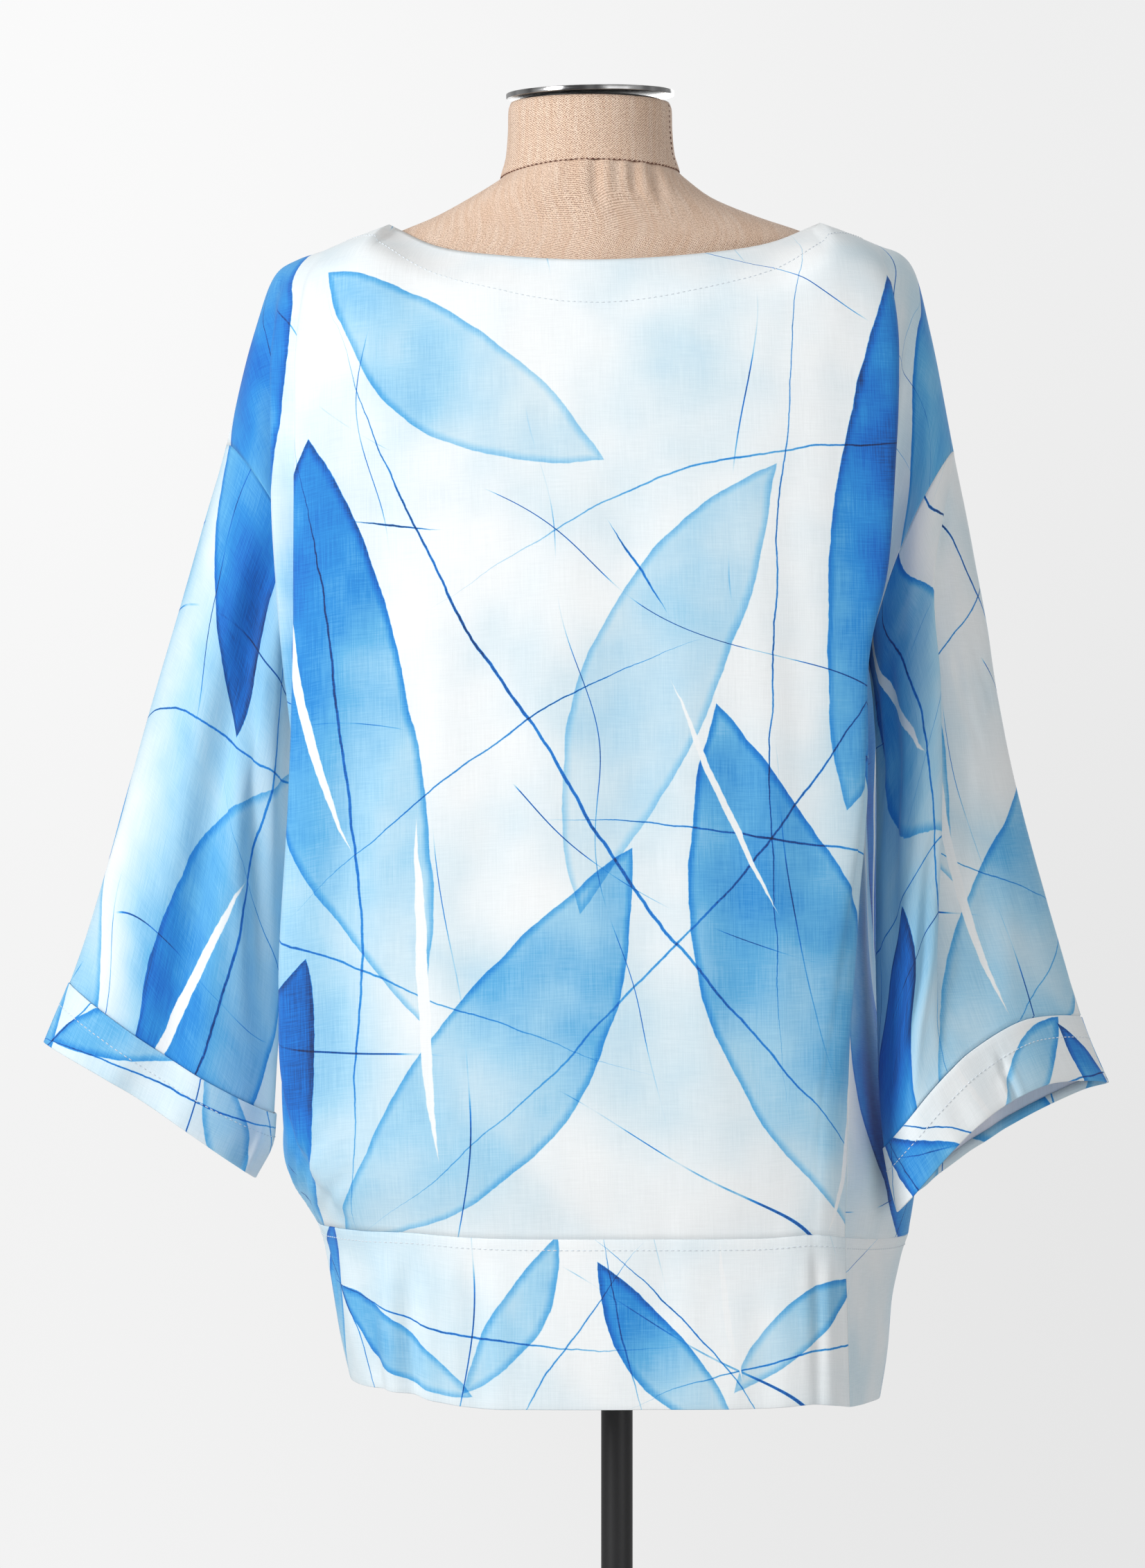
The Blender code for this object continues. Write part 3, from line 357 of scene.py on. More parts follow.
def ease(value, start, end):
    """Runs smoothly from 0 at start to 1 at end."""
    t = np.clip((value - start) / (end - start), 0.0, 1.0)
    return t * t * (3 - 2 * t)


# ================================================================ named points of the panels
def scaled(x, y, z):
    return np.array([x, y, z]) * CM


def risen(out, lift):
    return lift.by * ease(out, lift.start, lift.end)


def hung(x, y, z):
    """A point of the lower body or the hem band, let down at the right side and up at the hem."""
    drop = SIDE_DROP * ease(x, DROP_FROM, DROP_TO) * ease(z, DROP_TOP, LOW_LEVELS[0])
    edge = ease(z, BAND_LEVELS[0], BAND_LEVELS[-1])
    left = risen(-x, SEAM_LIFT["left"]) + edge * sum(risen(-x, lift) for lift in EDGE_LIFTS)
    right = risen(x, SEAM_LIFT["right"])
    return scaled(x, y, z - drop + (left + right) * (1 - ease(z, *LOW_LEVELS[:2])))


def side_places(middle, y, fold):
    """Places of a section from its middle out to the roll of the upper arm."""
    plain = [(middle.x + (fold.edge_x - middle.x) * share, y + (fold.edge_y - y) * share ** PLAIN_BEND)
             for share in PLAIN_SHARES]
    inward = -1 if fold.edge_x > 0 else 1
    tucked = ((fold.edge_x + fold.fold_x) / 2 + inward * fold.tuck, (fold.edge_y + fold.fold_y) / 2)
    return [(middle.x, y), *plain, (fold.edge_x, fold.edge_y), tucked, (fold.fold_x, fold.fold_y),
            (fold.deep_x, fold.deep_y), (fold.arm_x, fold.arm_y)]


def low_row(middle, face, fold, seam, z):
    places = side_places(middle, getattr(middle, face), fold) + [(seam.x, seam.y)]
    return [hung(px, py, z) for px, py in places]


def high_row(side, face, share, middle, fold, hole):
    """A section above the underarm. Each point is the same share of the way up its own line."""
    top = NECK_BACK_Z if face == "back" else NECK_FRONT_Z
    uppers = [top] + [getattr(n, "z_" + face) for n in NECKLINE[side]] + [c.z for c in CREST[side][:-1]]
    heights = [UNDERARM_Z + (upper - UNDERARM_Z) * share for upper in uppers]
    places = side_places(middle, getattr(middle, face), fold)
    return [scaled(px, py, z) for (px, py), z in zip(places, heights)] + [scaled(*hole)]


def top_row(side, face, middle):
    """The neckline and the shoulder seam."""
    z = NECK_BACK_Z if face == "back" else NECK_FRONT_Z
    row = [scaled(middle.x, getattr(middle, face), z)]
    row += [scaled(n.x, getattr(n, "y_" + face), getattr(n, "z_" + face)) for n in NECKLINE[side]]
    return row + [scaled(c.x, 0.0, c.z) for c in CREST[side]]


def half_panel(side, face):
    """The named points of half a panel, from the hem band up, from the middle out."""
    folds, holes, seams = FOLDS[side, face], ARMHOLE[side, face], SIDE_SEAM[side]
    low = len(LOW_LEVELS)
    rows = [low_row(MIDDLES[i], face, folds[i], seams[i], z) for i, z in enumerate(LOW_LEVELS[:-1])]
    rows.append(low_row(MIDDLES[low - 1], face, folds[low - 1], Seam(*holes[0][:2]), UNDERARM_Z))
    for i, share in enumerate(HIGH_SHARES[:-1]):
        rows.append(high_row(side, face, share, MIDDLES[low + i], folds[low + i], holes[i + 1]))
    rows.append(top_row(side, face, MIDDLES[-1]))
    return rows


def half_band(side, face):
    rows = [low_row(BAND_MIDDLES[i], face, BAND_FOLDS[side, face][i], BAND_SEAM[side][i], z)
            for i, z in enumerate(BAND_LEVELS)]
    return rows[::-1]


def whole(half, face):
    """Both halves of a net, joined at the middle, which they share: (levels, columns, 3)."""
    left, right = half("left", face), half("right", face)
    return np.array([list(reversed(a)) + b[1:] for a, b in zip(left, right)])


SIDE_POINTS = 9  # named points of a section on each side of the middle one
CORNERS = (SIDE_POINTS - 3, SIDE_POINTS + 3)  # the columns of the neck corners
FOLD_SPANS = 5  # spans from a fold's edge to the side seam or armhole
FACES = ("back", "front")


def corner_columns(across):
    """The fine columns of the two neck corners."""
    return [sum(across[:corner]) for corner in CORNERS]


def neckline_row(points, across):
    """A panel's top row as a fine line with a corner at each end of the neckline."""
    ends = [0, *CORNERS, len(across)]
    parts = [through(points[a:b + 1], across[a:b]) for a, b in zip(ends, ends[1:])]
    return np.concatenate([part[:-1] for part in parts[:-1]] + [parts[-1]])


def fine_rows(net, far, across):
    """A panel's named rows as fine lines. Below the armholes they run on into the other panel."""
    low = len(LOW_LEVELS)
    lead, trail = 2 * net[:, 0] - net[:, 1], 2 * net[:, -1] - net[:, -2]
    lead[:low], trail[:low] = far[:low, 1], far[:low, -2]
    rows = through(net.transpose(1, 0, 2), across, lead=lead, trail=trail).transpose(1, 0, 2)
    rows[-1] = neckline_row(net[-1], across)
    return rows


def fine_panels():
    """Both panels as fine grids (rows, columns, 3) that run on smoothly into each other."""
    nets = {face: whole(half_panel, face) for face in FACES}
    spans = nets["back"].shape[1] - 1
    spacing = [FOLD_STEP if min(i, spans - 1 - i) < FOLD_SPANS else PLAIN_STEP for i in range(spans)]
    both = np.concatenate([nets[face] for face in FACES]).transpose(1, 0, 2)
    across = span_counts(both, spacing)
    upward = span_counts(np.concatenate([nets[face] for face in FACES], axis=1), LEVEL_STEP)
    rows = {face: fine_rows(nets[face], nets[other], across) for face, other in (FACES, FACES[::-1])}
    first, last = corner_columns(across)
    grids = {}
    for face, other in (FACES, FACES[::-1]):
        trail = 2 * rows[face][-1] - rows[face][-2]
        trail[:first + 1] = rows[other][-2, :first + 1]
        trail[last:] = rows[other][-2, last:]
        grids[face] = through(rows[face], upward, trail=trail)
    return grids, across, upward


def fine_bands(across):
    """Both halves of the hem band as fine grids, with the columns of the panels."""
    nets = {face: whole(half_band, face) for face in FACES}
    grids = {}
    for face, other in (FACES, FACES[::-1]):
        net, far = nets[face], nets[other]
        rows = through(net.transpose(1, 0, 2), across, lead=far[:, 1], trail=far[:, -2])
        grids[face] = through(rows.transpose(1, 0, 2), span_counts(net, LEVEL_STEP))
    return grids


# ================================================================ sleeves
ROUND_SHARE = 2  # columns of a sleeve for each row of the armhole
LIP_SPANS = 3.5  # spans of a ring from its outer line to the edge of the lip
LIP_SHARE = 0.42  # of the columns of the back that are on the outer side of the lip
LIP_AT_HOLE = 0.16  # of the armhole's back edge that is on the outer side of it
RING_SAMPLES = 40  # of each span of a ring, before they are spread evenly
SHOULDER_REACH = 4  # how strongly a sleeve's top goes on in the direction of the shoulder
FRONT_SAG = 0.2  # of a ring's sag that its front has too


def lipped(places, lip, crisp):
    """The places with a fold across the back, whose edge is nearer than what it lies over."""
    folded = [Place(lip * 0.45, -0.52), Place(lip + 0.07, -0.74), Place(lip, -0.85),
              Place(lip - 0.005, -0.94), Place((lip + 1) / 2, -1.05), Place(0.95, -0.60)]
    bent = [Place(*(a + (b - a) * crisp for a, b in zip(*pair))) for pair in zip(places, folded)]
    return bent + places[len(folded):]


def behind_count(places):
    return sum(place.depth < 0 for place in places)


def tube_ring(ring, places):
    """The named points round a sleeve or cuff: its outer line, its back, its inner line, its front."""
    outer = scaled(ring.outer_x, 0.0, ring.outer_z)
    inner = scaled(ring.inner_x, ring.inner_y, ring.inner_z)
    if ring.lip:
        places = lipped(places, ring.lip, ring.crisp)
    points = []
    for place in places:
        depth, sag = (ring.back, 1.0) if place.depth < 0 else (ring.front, FRONT_SAG)
        lift = ring.sag * CM * 4 * place.across * (1 - place.across)
        off = np.array([0.0, place.depth * depth * CM, sag * lift])
        points.append(outer + (inner - outer) * place.across + off)
    behind = behind_count(places)
    return np.array([outer] + points[:behind] + [inner] + points[behind:])


def even(points, count):
    """The points of a fine line, moved along it to even distances."""
    run = arc(points)
    marks = np.linspace(0.0, run[-1], count)
    return np.stack([np.interp(marks, run, points[:, k]) for k in range(3)], axis=1)


def even_in_parts(points, cut, share, count):
    """The same with the cut, a sample of the line, at a set share of the count."""
    if not share:
        return even(points, count)
    before = int(round(share * count))
    return np.concatenate([even(points[:cut + 1], before + 1)[:-1], even(points[cut:], count - before)])


def fine_ring(ring, places, count):
    """A ring with count points from its outer line to its inner one and as many back."""
    points = tube_ring(ring, places)
    loop = through(points, [RING_SAMPLES] * len(points), closed=True)
    loop = np.concatenate([loop, loop[:1]])
    middle = RING_SAMPLES * (behind_count(places) + 1)
    share = LIP_SHARE if ring.lip else 0.0
    back = even_in_parts(loop[:middle + 1], int(RING_SAMPLES * LIP_SPANS), share, count + 1)
    return np.concatenate([back[:-1], even(loop[middle:], count + 1)[:-1]])


def fine_sleeve(side, panels, underarm):
    """The sleeve, from the armhole edges of both panels down to the cuff: (rows, round, 3)."""
    edge, inside = (0, 2) if side == "left" else (-1, -3)
    count = ROUND_SHARE * (len(panels["back"]) - 1 - underarm)

    def hole(column):
        back, front = panels["back"][:underarm - 1:-1, column], panels["front"][underarm:, column]
        share = LIP_SHARE if SLEEVE_RINGS[side][0].lip else 0.0
        cut = int(round(LIP_AT_HOLE * (len(back) - 1)))
        return np.concatenate([even_in_parts(back, cut, share, count + 1)[:-1], even(front, count + 1)[:-1]])

    places = SLEEVE_PLACES[side]
    rings = np.array([hole(edge)] + [fine_ring(ring, places, count) for ring in SLEEVE_RINGS[side]])
    lead = rings[0] + (hole(inside) - rings[0]) * SHOULDER_REACH
    trail = fine_ring(CUFF_RINGS[side][1], places, count)
    return through(rings, span_counts(rings, LEVEL_STEP), lead=lead, trail=trail)


def fine_cuff(side, count):
    rings = np.array([fine_ring(ring, SLEEVE_PLACES[side], count) for ring in CUFF_RINGS[side]])
    return through(rings, span_counts(rings, LEVEL_STEP))


# ================================================================ meshes
SHARP_FROM = 0.6  # radians: an edge that turns by more than this isn't shaded smooth


def link(item):
    bpy.context.scene.collection.objects.link(item)
    return item


def grid_faces(rows, columns, closed):
    r, c = np.meshgrid(np.arange(rows - 1), np.arange(columns if closed else columns - 1), indexing="ij")
    d = (c + 1) % columns
    return np.stack([r * columns + c, r * columns + d, (r + 1) * columns + d, (r + 1) * columns + c],
                    axis=-1).reshape(-1, 4)


def build_mesh(name, vertices, faces):
    mesh = bpy.data.meshes.new(name)
    mesh.from_pydata(np.asarray(vertices).reshape(-1, 3).tolist(), [], faces)
    mesh.update()
    mesh.shade_smooth()
    return link(bpy.data.objects.new(name, mesh))


def lay_uv(item, uv):
    """Writes cloth coordinates, in metres, given for each corner of each face."""
    layer = item.data.uv_layers.new(name="Cloth")
    layer.data.foreach_set("uv", uv.reshape(-1).astype(np.float32))


def grid_mesh(name, grid, flat, materials, closed, flip=False):
    """A surface on a grid of points. flat holds each point's place on the flat cloth."""
    rows, columns = grid.shape[:2]
    faces = grid_faces(rows, columns, closed)
    corner_uv = flat.reshape(-1, 2)[faces]
    if closed:
        last = faces[:, 1] % columns == 0
        width = flat[:, -1, 0] * 2 - flat[:, -2, 0]
        corner_uv[last, 1, 0] = width[faces[last, 0] // columns]
        corner_uv[last, 2, 0] = width[faces[last, 3] // columns]
    if flip:
        faces, corner_uv = faces[:, ::-1], corner_uv[:, ::-1]
    item = build_mesh(name, grid, faces.tolist())
    lay_uv(item, corner_uv)
    for made in materials:
        item.data.materials.append(made)
    return item


def cloth_piece(name, grid, flat, materials, closed, flip):
    """The same as a thin shell, with the wrong side of the cloth inside."""
    item = grid_mesh(name, grid, flat, materials, closed, flip)
    wall = item.modifiers.new("Wall", "SOLIDIFY")
    wall.thickness = CLOTH
    wall.offset = -1.0
    wall.material_offset = len(materials) - 1
    return item


def turned(name, profile, material, sides=96, centre=(0.0, 0.0, 0.0), tilt=(0.0, 0.0)):
    """A profile of (radius, z) points from the top down, turned about an upright line."""
    profile = np.array(profile)
    turn = np.linspace(0.0, 2 * np.pi, sides, endpoint=False)
    ring = np.stack([np.cos(turn), np.sin(turn)], axis=1)
    vertices = [(radius * x, radius * y, z) for radius, z in profile for x, y in ring]
    faces = grid_faces(len(profile), sides, True)[:, ::-1].tolist()
    faces.append(list(range(sides)))
    faces.append(list(range((len(profile) - 1) * sides, len(profile) * sides))[::-1])
    item = build_mesh(name, vertices, faces)
    item.data.set_sharp_from_angle(angle=SHARP_FROM)
    item.data.materials.append(material)
    item.location = centre
    item.rotation_euler = (*tilt, 0.0)
    return item


# ================================================================ creases
# A crease runs from one place of the flat cloth to another, in centimetres. bow: how far its
# middle is off the straight line. width: half its width. depth: of its trough, or less than
# nothing for a ridge.
Crease = namedtuple("Crease", "x1 y1 x2 y2 bow width depth")
CREASE_FADE = 0.7  # how fully a crease keeps its depth towards its ends: less is fuller
ROLL_HEIGHT, ROLL_PLACE, ROLL_TIGHTNESS = 0.35, 1.7, 1.5  # of the roll at each side of a trough


def grid_normals(grid, closed=False, sign=1):
    if closed:
        across = np.roll(grid, -1, axis=1) - np.roll(grid, 1, axis=1)
    else:
        across = np.gradient(grid, axis=1)
    normals = np.cross(across, np.gradient(grid, axis=0)) * sign
    return normals / np.maximum(np.linalg.norm(normals, axis=-1, keepdims=True), 1e-12)


def crease_depth(flat, crease):
    """How deep a crease is at each place of the flat cloth: a trough between two soft rolls."""
    start, end = np.array([crease.x1, crease.y1]) * CM, np.array([crease.x2, crease.y2]) * CM
    way = end - start
    length = np.linalg.norm(way)
    way /= length
    off = flat - start
    run = np.clip((off @ way) / length, 0.0, 1.0)
    side = (off @ np.array([-way[1], way[0]])) - crease.bow * CM * 4 * run * (1 - run)
    q = side / (crease.width * CM)
    fade = (4 * run * (1 - run)) ** CREASE_FADE
    roll = ROLL_HEIGHT * np.exp(-ROLL_TIGHTNESS * (np.abs(q) - ROLL_PLACE) ** 2)
    return crease.depth * CM * fade * (np.exp(-q ** 2) - roll)


def all_creases(flat, creases):
    return sum((crease_depth(flat, crease) for crease in creases), np.zeros(flat.shape[:2]))


CLOUD_CELLS = 64  # of the table of random numbers, each way
CLOUD_START = 20.5  # the cell of the cloth's own origin


def clouds(flat, size, seed):
    """Smooth random numbers from -1 to 1 over the flat cloth, in patches of size (across, up)."""
    table = np.random.default_rng(seed).uniform(-1, 1, (CLOUD_CELLS, CLOUD_CELLS))
    place = flat / np.array(size) + CLOUD_START
    cell = np.floor(place).astype(int)
    share = place - cell
    share = share * share * (3 - 2 * share)

    def corner(dx, dy):
        return table[(cell[..., 0] + dx) % CLOUD_CELLS, (cell[..., 1] + dy) % CLOUD_CELLS]

    low = corner(0, 0) + (corner(1, 0) - corner(0, 0)) * share[..., 0]
    high = corner(0, 1) + (corner(1, 1) - corner(0, 1)) * share[..., 0]
    return low + (high - low) * share[..., 1]


RIPPLE = 0.0009  # of the slow waves that all the cloth has
RIPPLE_SIZE = (0.045, 0.16)
FLUTTER = 0.00025  # of the finer unevenness on them
FLUTTER_SIZE = (0.014, 0.035)


def creased(grid, flat, creases, seed, hold, closed, sign, pucker):
    """The grid with its creases pressed in. hold is 0 where the cloth is held and 1 where it is free."""
    depth = all_creases(flat, creases)
    waves = RIPPLE * clouds(flat, RIPPLE_SIZE, seed) + FLUTTER * clouds(flat, FLUTTER_SIZE, seed + 1)
    depth = (depth + waves) * hold + pucker
    return grid - grid_normals(grid, closed, sign) * depth[..., None]


EDGE_FADE = 0.03  # from a held edge to where the cloth is free
HEM_FADE = 0.02  # the same where a panel meets the hem band
BAND_FADE = 0.012  # and at the band's side seams
SLEEVE_FADE = 0.05  # and at the top of a sleeve


def held(grid, *edges, fade=EDGE_FADE):
    """0 along the named edges of a grid and 1 from a little way in."""
    across, upward = arc(grid.transpose(1, 0, 2)).T, arc(grid)
    distances = {"first": across, "last": across[:, -1:] - across,
                 "bottom": upward, "top": upward[-1:] - upward}
    share = np.ones(grid.shape[:2])
    for edge in edges:
        share = share * ease(distances[edge], 0.0, fade)
    return share


def flat_of_panel(grid, middle):
    """Cloth coordinates: along each row from the middle, and up each column from the hem."""
    across = arc(grid.transpose(1, 0, 2)).T
    return np.stack([across - across[:, middle:middle + 1], arc(grid)], axis=-1)


def flat_of_tube(grid):
    """Cloth coordinates round a tube from its outer line, and down it."""
    return np.stack([arc(grid.transpose(1, 0, 2)).T, arc(grid)], axis=-1)


# ================================================================ materials
class Net:
    """A node tree, with short calls for the nodes that the materials use."""

    def __init__(self, tree):
        self.tree = tree

    def add(self, kind, inputs, out=0, **settings):
        """A new node with its inputs linked or set, and one of its outputs."""
        made = self.tree.nodes.new("ShaderNode" + kind)
        for name, value in settings.items():
            setattr(made, name, value)
        for key, value in inputs.items():
            if isinstance(value, bpy.types.NodeSocket):
                self.tree.links.new(value, made.inputs[key])
            else:
                made.inputs[key].default_value = value
        return made.outputs[out]

    def calc(self, operation, *values, clamp=False):
        return self.add("Math", dict(enumerate(values)), operation=operation, use_clamp=clamp)

    def vector(self, operation, *values, out=0):
        return self.add("VectorMath", dict(enumerate(values)), out=out, operation=operation)

    def step(self, value, start, end, low=0.0, high=1.0):
        """Runs smoothly from low to high while value goes from start to end."""
        return self.add("MapRange", {"Value": value, "From Min": start, "From Max": end,
                                     "To Min": low, "To Max": high}, interpolation_type="SMOOTHSTEP")

    def noise(self, where, scale, detail, roughness=0.5, out=0):
        return self.add("TexNoise", {"Vector": where, "Scale": scale, "Detail": detail,
                                     "Roughness": roughness}, out=out)

    def stretched(self, where, x, y, z=1.0):
        return self.vector("MULTIPLY", where, (x, y, z))

    def ramp(self, value, stops):
        """The colour that a value from 0 to 1 has among the stops."""
        made = self.tree.nodes.new("ShaderNodeValToRGB")
        elements = made.color_ramp.elements
        while len(elements) < len(stops):
            elements.new(0.5)
        for element, (place, colour) in zip(elements, stops):
            element.position = place
            element.color = (*colour, 1.0)
        self.tree.links.new(value, made.inputs[0])
        return made.outputs[0]

    def blend(self, share, a, b):
        """From the colour a to the colour b, by a share."""
        made = self.tree.nodes.new("ShaderNodeMix")
        made.data_type = "RGBA"
        for index, value in ((0, share), (6, a), (7, b)):
            if isinstance(value, bpy.types.NodeSocket):
                self.tree.links.new(value, made.inputs[index])
            else:
                made.inputs[index].default_value = value if index == 0 else (*value, 1.0)
        return made.outputs[2]

    def bump(self, shader, height, distance, strength):
        made = self.add("Bump", {"Height": height, "Distance": distance, "Strength": strength})
        self.tree.links.new(made, shader.inputs["Normal"])

    def colour(self, shader, tone, share=None):
        """The shader's colour: the tone, or the share of it that the threads let through."""
        if share is not None:
            tone = self.vector("SCALE", tone, (0, 0, 0), (0, 0, 0), share)
        self.tree.links.new(tone, shader.inputs["Base Color"])

    def rest(self, share):
        return self.calc("SUBTRACT", 1.0, share)

    def cloth(self):
        """The place on the flat cloth, in metres."""
        return self.add("UVMap", {}, uv_map="Cloth")

    def place(self):
        """The place in the piece's own space, in metres."""
        return self.add("TexCoord", {}, out=3)

    def from_axis(self, where):
        """The distance from the upright line through the origin."""
        return self.vector("LENGTH", self.stretched(where, 1.0, 1.0, 0.0), out=1)

    def axes(self, where):
        made = self.tree.nodes.new("ShaderNodeSeparateXYZ")
        self.tree.links.new(where, made.inputs[0])
        return made.outputs


def shade(red, green, blue):
    """A colour as it looks on a screen, 0 to 255, as the light that Blender reckons with."""
    c = np.array([red, green, blue]) / 255.0
    return tuple(np.where(c <= 0.04045, c / 12.92, ((c + 0.055) / 1.055) ** 2.4).tolist())


def new_material(name, roughness, metallic=0.0, sheen=0.0):
    """A material with its Principled shader, and a Net to build the rest."""
    made = bpy.data.materials.new(name)
    made.use_nodes = True
    shader = made.node_tree.nodes["Principled BSDF"]
    shader.inputs["Roughness"].default_value = roughness
    shader.inputs["Metallic"].default_value = metallic
    shader.inputs["Sheen Weight"].default_value = sheen
    return made, Net(made.node_tree), shader


ICE = shade(242, 245, 246)
MIST = shade(211, 230, 239)
SKY = shade(162, 210, 236)
AZURE = shade(94, 176, 226)
CORNFLOWER = shade(36, 140, 216)
COBALT = shade(8, 106, 200)
INK = shade(14, 62, 128)
NAVY = shade(12, 30, 70)
WASHES = [(0.0, ICE), (0.12, MIST), (0.27, SKY), (0.43, AZURE), (0.58, CORNFLOWER),
          (0.74, COBALT), (0.88, INK), (1.0, NAVY)]

# The print: leaves and stems as drawn on the flat cloth, in centimetres and degrees. Length and
# width are halves. ink: how dark. fade: how much paler towards the tail. wet: darkness of the
# edge, where the paint has run together. soft: how wide its edge runs out. A motif with less than no
# ink keeps the cloth white.
Motif = namedtuple("Motif", "x y length width turn bend ink fade wet soft", defaults=(0.035,))
LARGE_PRINT = [
    Motif(-21.5, 24.0, 24.0, 5.0, 4, 0.3, 0.40, 0.6, 0.0, 3.2),
    Motif(19.5, 30.0, 26.0, 4.4, -8, -0.3, 0.34, 0.5, 0.0, 2.8),
    Motif(-34.0, 20.0, 22.0, 5.0, 8, 0.3, 0.50, 0.6, 0.0, 3.4),
    Motif(38.0, 34.0, 24.0, 5.0, -6, 0.3, 0.42, 0.6, 0.0, 3.4),
    Motif(2.0, 12.0, 14.0, 4.5, 64, 0.3, 0.14, 0.6, 0.0, 3.0),
    Motif(13.0, 15.0, 21.0, 6.0, 22, 0.5, 0.46, 0.8, 0.22),
    Motif(-7.0, 11.0, 17.0, 5.0, -38, -0.7, 0.34, 0.7, 0.20),
    Motif(-17.5, 34.0, 20.0, 5.2, 10, 0.5, 0.54, 0.85, 0.25),
    Motif(3.0, 37.0, 16.0, 4.2, -24, 0.8, 0.22, 0.7, 0.18),
    Motif(20.0, 46.0, 18.0, 4.8, -7, -0.6, 0.72, 0.6, 0.18),
    Motif(-10.0, 57.0, 12.0, 3.6, 52, 1.0, 0.28, 0.6, 0.18),
    Motif(-24.0, 7.0, 13.0, 4.0, -12, 0.8, 0.66, 0.7, 0.18),
    Motif(26.5, 21.0, 14.0, 3.8, 30, -0.8, 0.40, 0.5, 0.20),
    Motif(-31.0, 50.0, 22.0, 6.6, -16, 0.4, 0.64, 0.8, 0.18),
    Motif(34.0, 56.0, 22.0, 6.2, 20, 0.4, 0.58, 0.8, 0.20),
    Motif(-12.0, 17.0, 11.0, 0.42, 4, 0.4, -1.0, 0.0, 0.0),
    Motif(17.0, 9.0, 9.0, 0.34, -14, -0.6, -1.0, 0.0, 0.0),
    Motif(-20.0, 38.0, 12.0, 0.36, 12, 0.5, -1.0, 0.0, 0.0),
    Motif(-2.0, 29.0, 34.0, 0.10, 33, 0.35, 0.85, 0.3, 0.0),
    Motif(6.0, 21.0, 28.0, 0.07, -42, -0.3, 0.80, 0.5, 0.0),
    Motif(9.0, 51.0, 19.0, 0.06, -76, 0.8, 0.80, 0.5, 0.0),
    Motif(-16.5, 27.0, 26.0, 0.09, 3, -0.3, 0.85, 0.4, 0.0),
    Motif(21.5, 38.0, 25.0, 0.08, -4, 0.4, 0.85, 0.3, 0.0),
    Motif(-20.0, 20.0, 22.0, 0.06, 64, 0.3, 0.80, 0.4, 0.0),
    Motif(14.0, 26.0, 16.0, 0.07, 81, -0.4, 0.85, 0.3, 0.0),
    Motif(28.0, 30.0, 21.0, 0.07, -22, 0.3, 0.80, 0.5, 0.0),
    Motif(2.5, 44.0, 3.2, 0.07, 35, 0.0, 0.75, 0.2, 0.0),
    Motif(11.0, 40.0, 27.0, 0.05, -3, 0.25, 0.95, 0.2, 0.0),
    Motif(-8.0, 32.0, 14.0, 0.05, -58, 0.5, 0.95, 0.4, 0.0),
    Motif(-13.5, 47.5, 2.6, 0.06, 82, 0.0, 0.90, 0.1, 0.0),
    Motif(7.5, 29.0, 8.0, 0.22, 24, 0.5, -1.0, 0.0, 0.0),
]
SMALL_PRINT = [
    Motif(-15.0, 4.0, 6.5, 1.8, 62, 1.5, 0.44, 0.7, 0.22),
    Motif(-6.0, 6.5, 6.0, 1.5, -30, -2.0, 0.30, 0.6, 0.20),
    Motif(3.0, 4.0, 7.5, 2.0, 38, 1.5, 0.60, 0.7, 0.22),
    Motif(12.0, 6.0, 6.0, 1.6, -52, 2.0, 0.36, 0.6, 0.20),
    Motif(18.5, 3.5, 5.5, 1.5, 12, -2.0, 0.64, 0.6, 0.20),
    Motif(-22.0, 7.0, 5.5, 1.6, -16, 2.0, 0.50, 0.6, 0.20),
    Motif(7.5, 7.0, 4.5, 0.22, 8, 1.0, -1.0, 0.0, 0.0),
    Motif(-10.0, 5.5, 13.0, 0.060, 82, 0.6, 0.85, 0.4, 0.0),
    Motif(6.0, 5.0, 9.0, 0.05, 40, -1.0, 0.85, 0.4, 0.0),
    Motif(-3.0, 5.0, 7.0, 0.05, -34, 1.0, 0.80, 0.4, 0.0),
    Motif(14.0, 4.5, 12.0, 0.065, -80, 0.7, 0.85, 0.3, 0.0),
    Motif(0.5, 6.0, 6.0, 0.05, 12, 0.9, 0.80, 0.3, 0.0),
    Motif(-19.0, 5.0, 7.0, 0.05, 26, -0.9, 0.85, 0.3, 0.0),
    Motif(21.0, 6.0, 6.5, 0.05, -28, 0.9, 0.80, 0.3, 0.0),
]


MOTIF_VECTORS = ("Spot", "Place", "Turn")
MOTIF_NUMBERS = ("Bend", "Radius", "Offset", "Length", "Ink", "Fade", "Wet", "Soft", "Mottle")
WET_EDGE = 0.006  # how wide the darker edge of a motif is


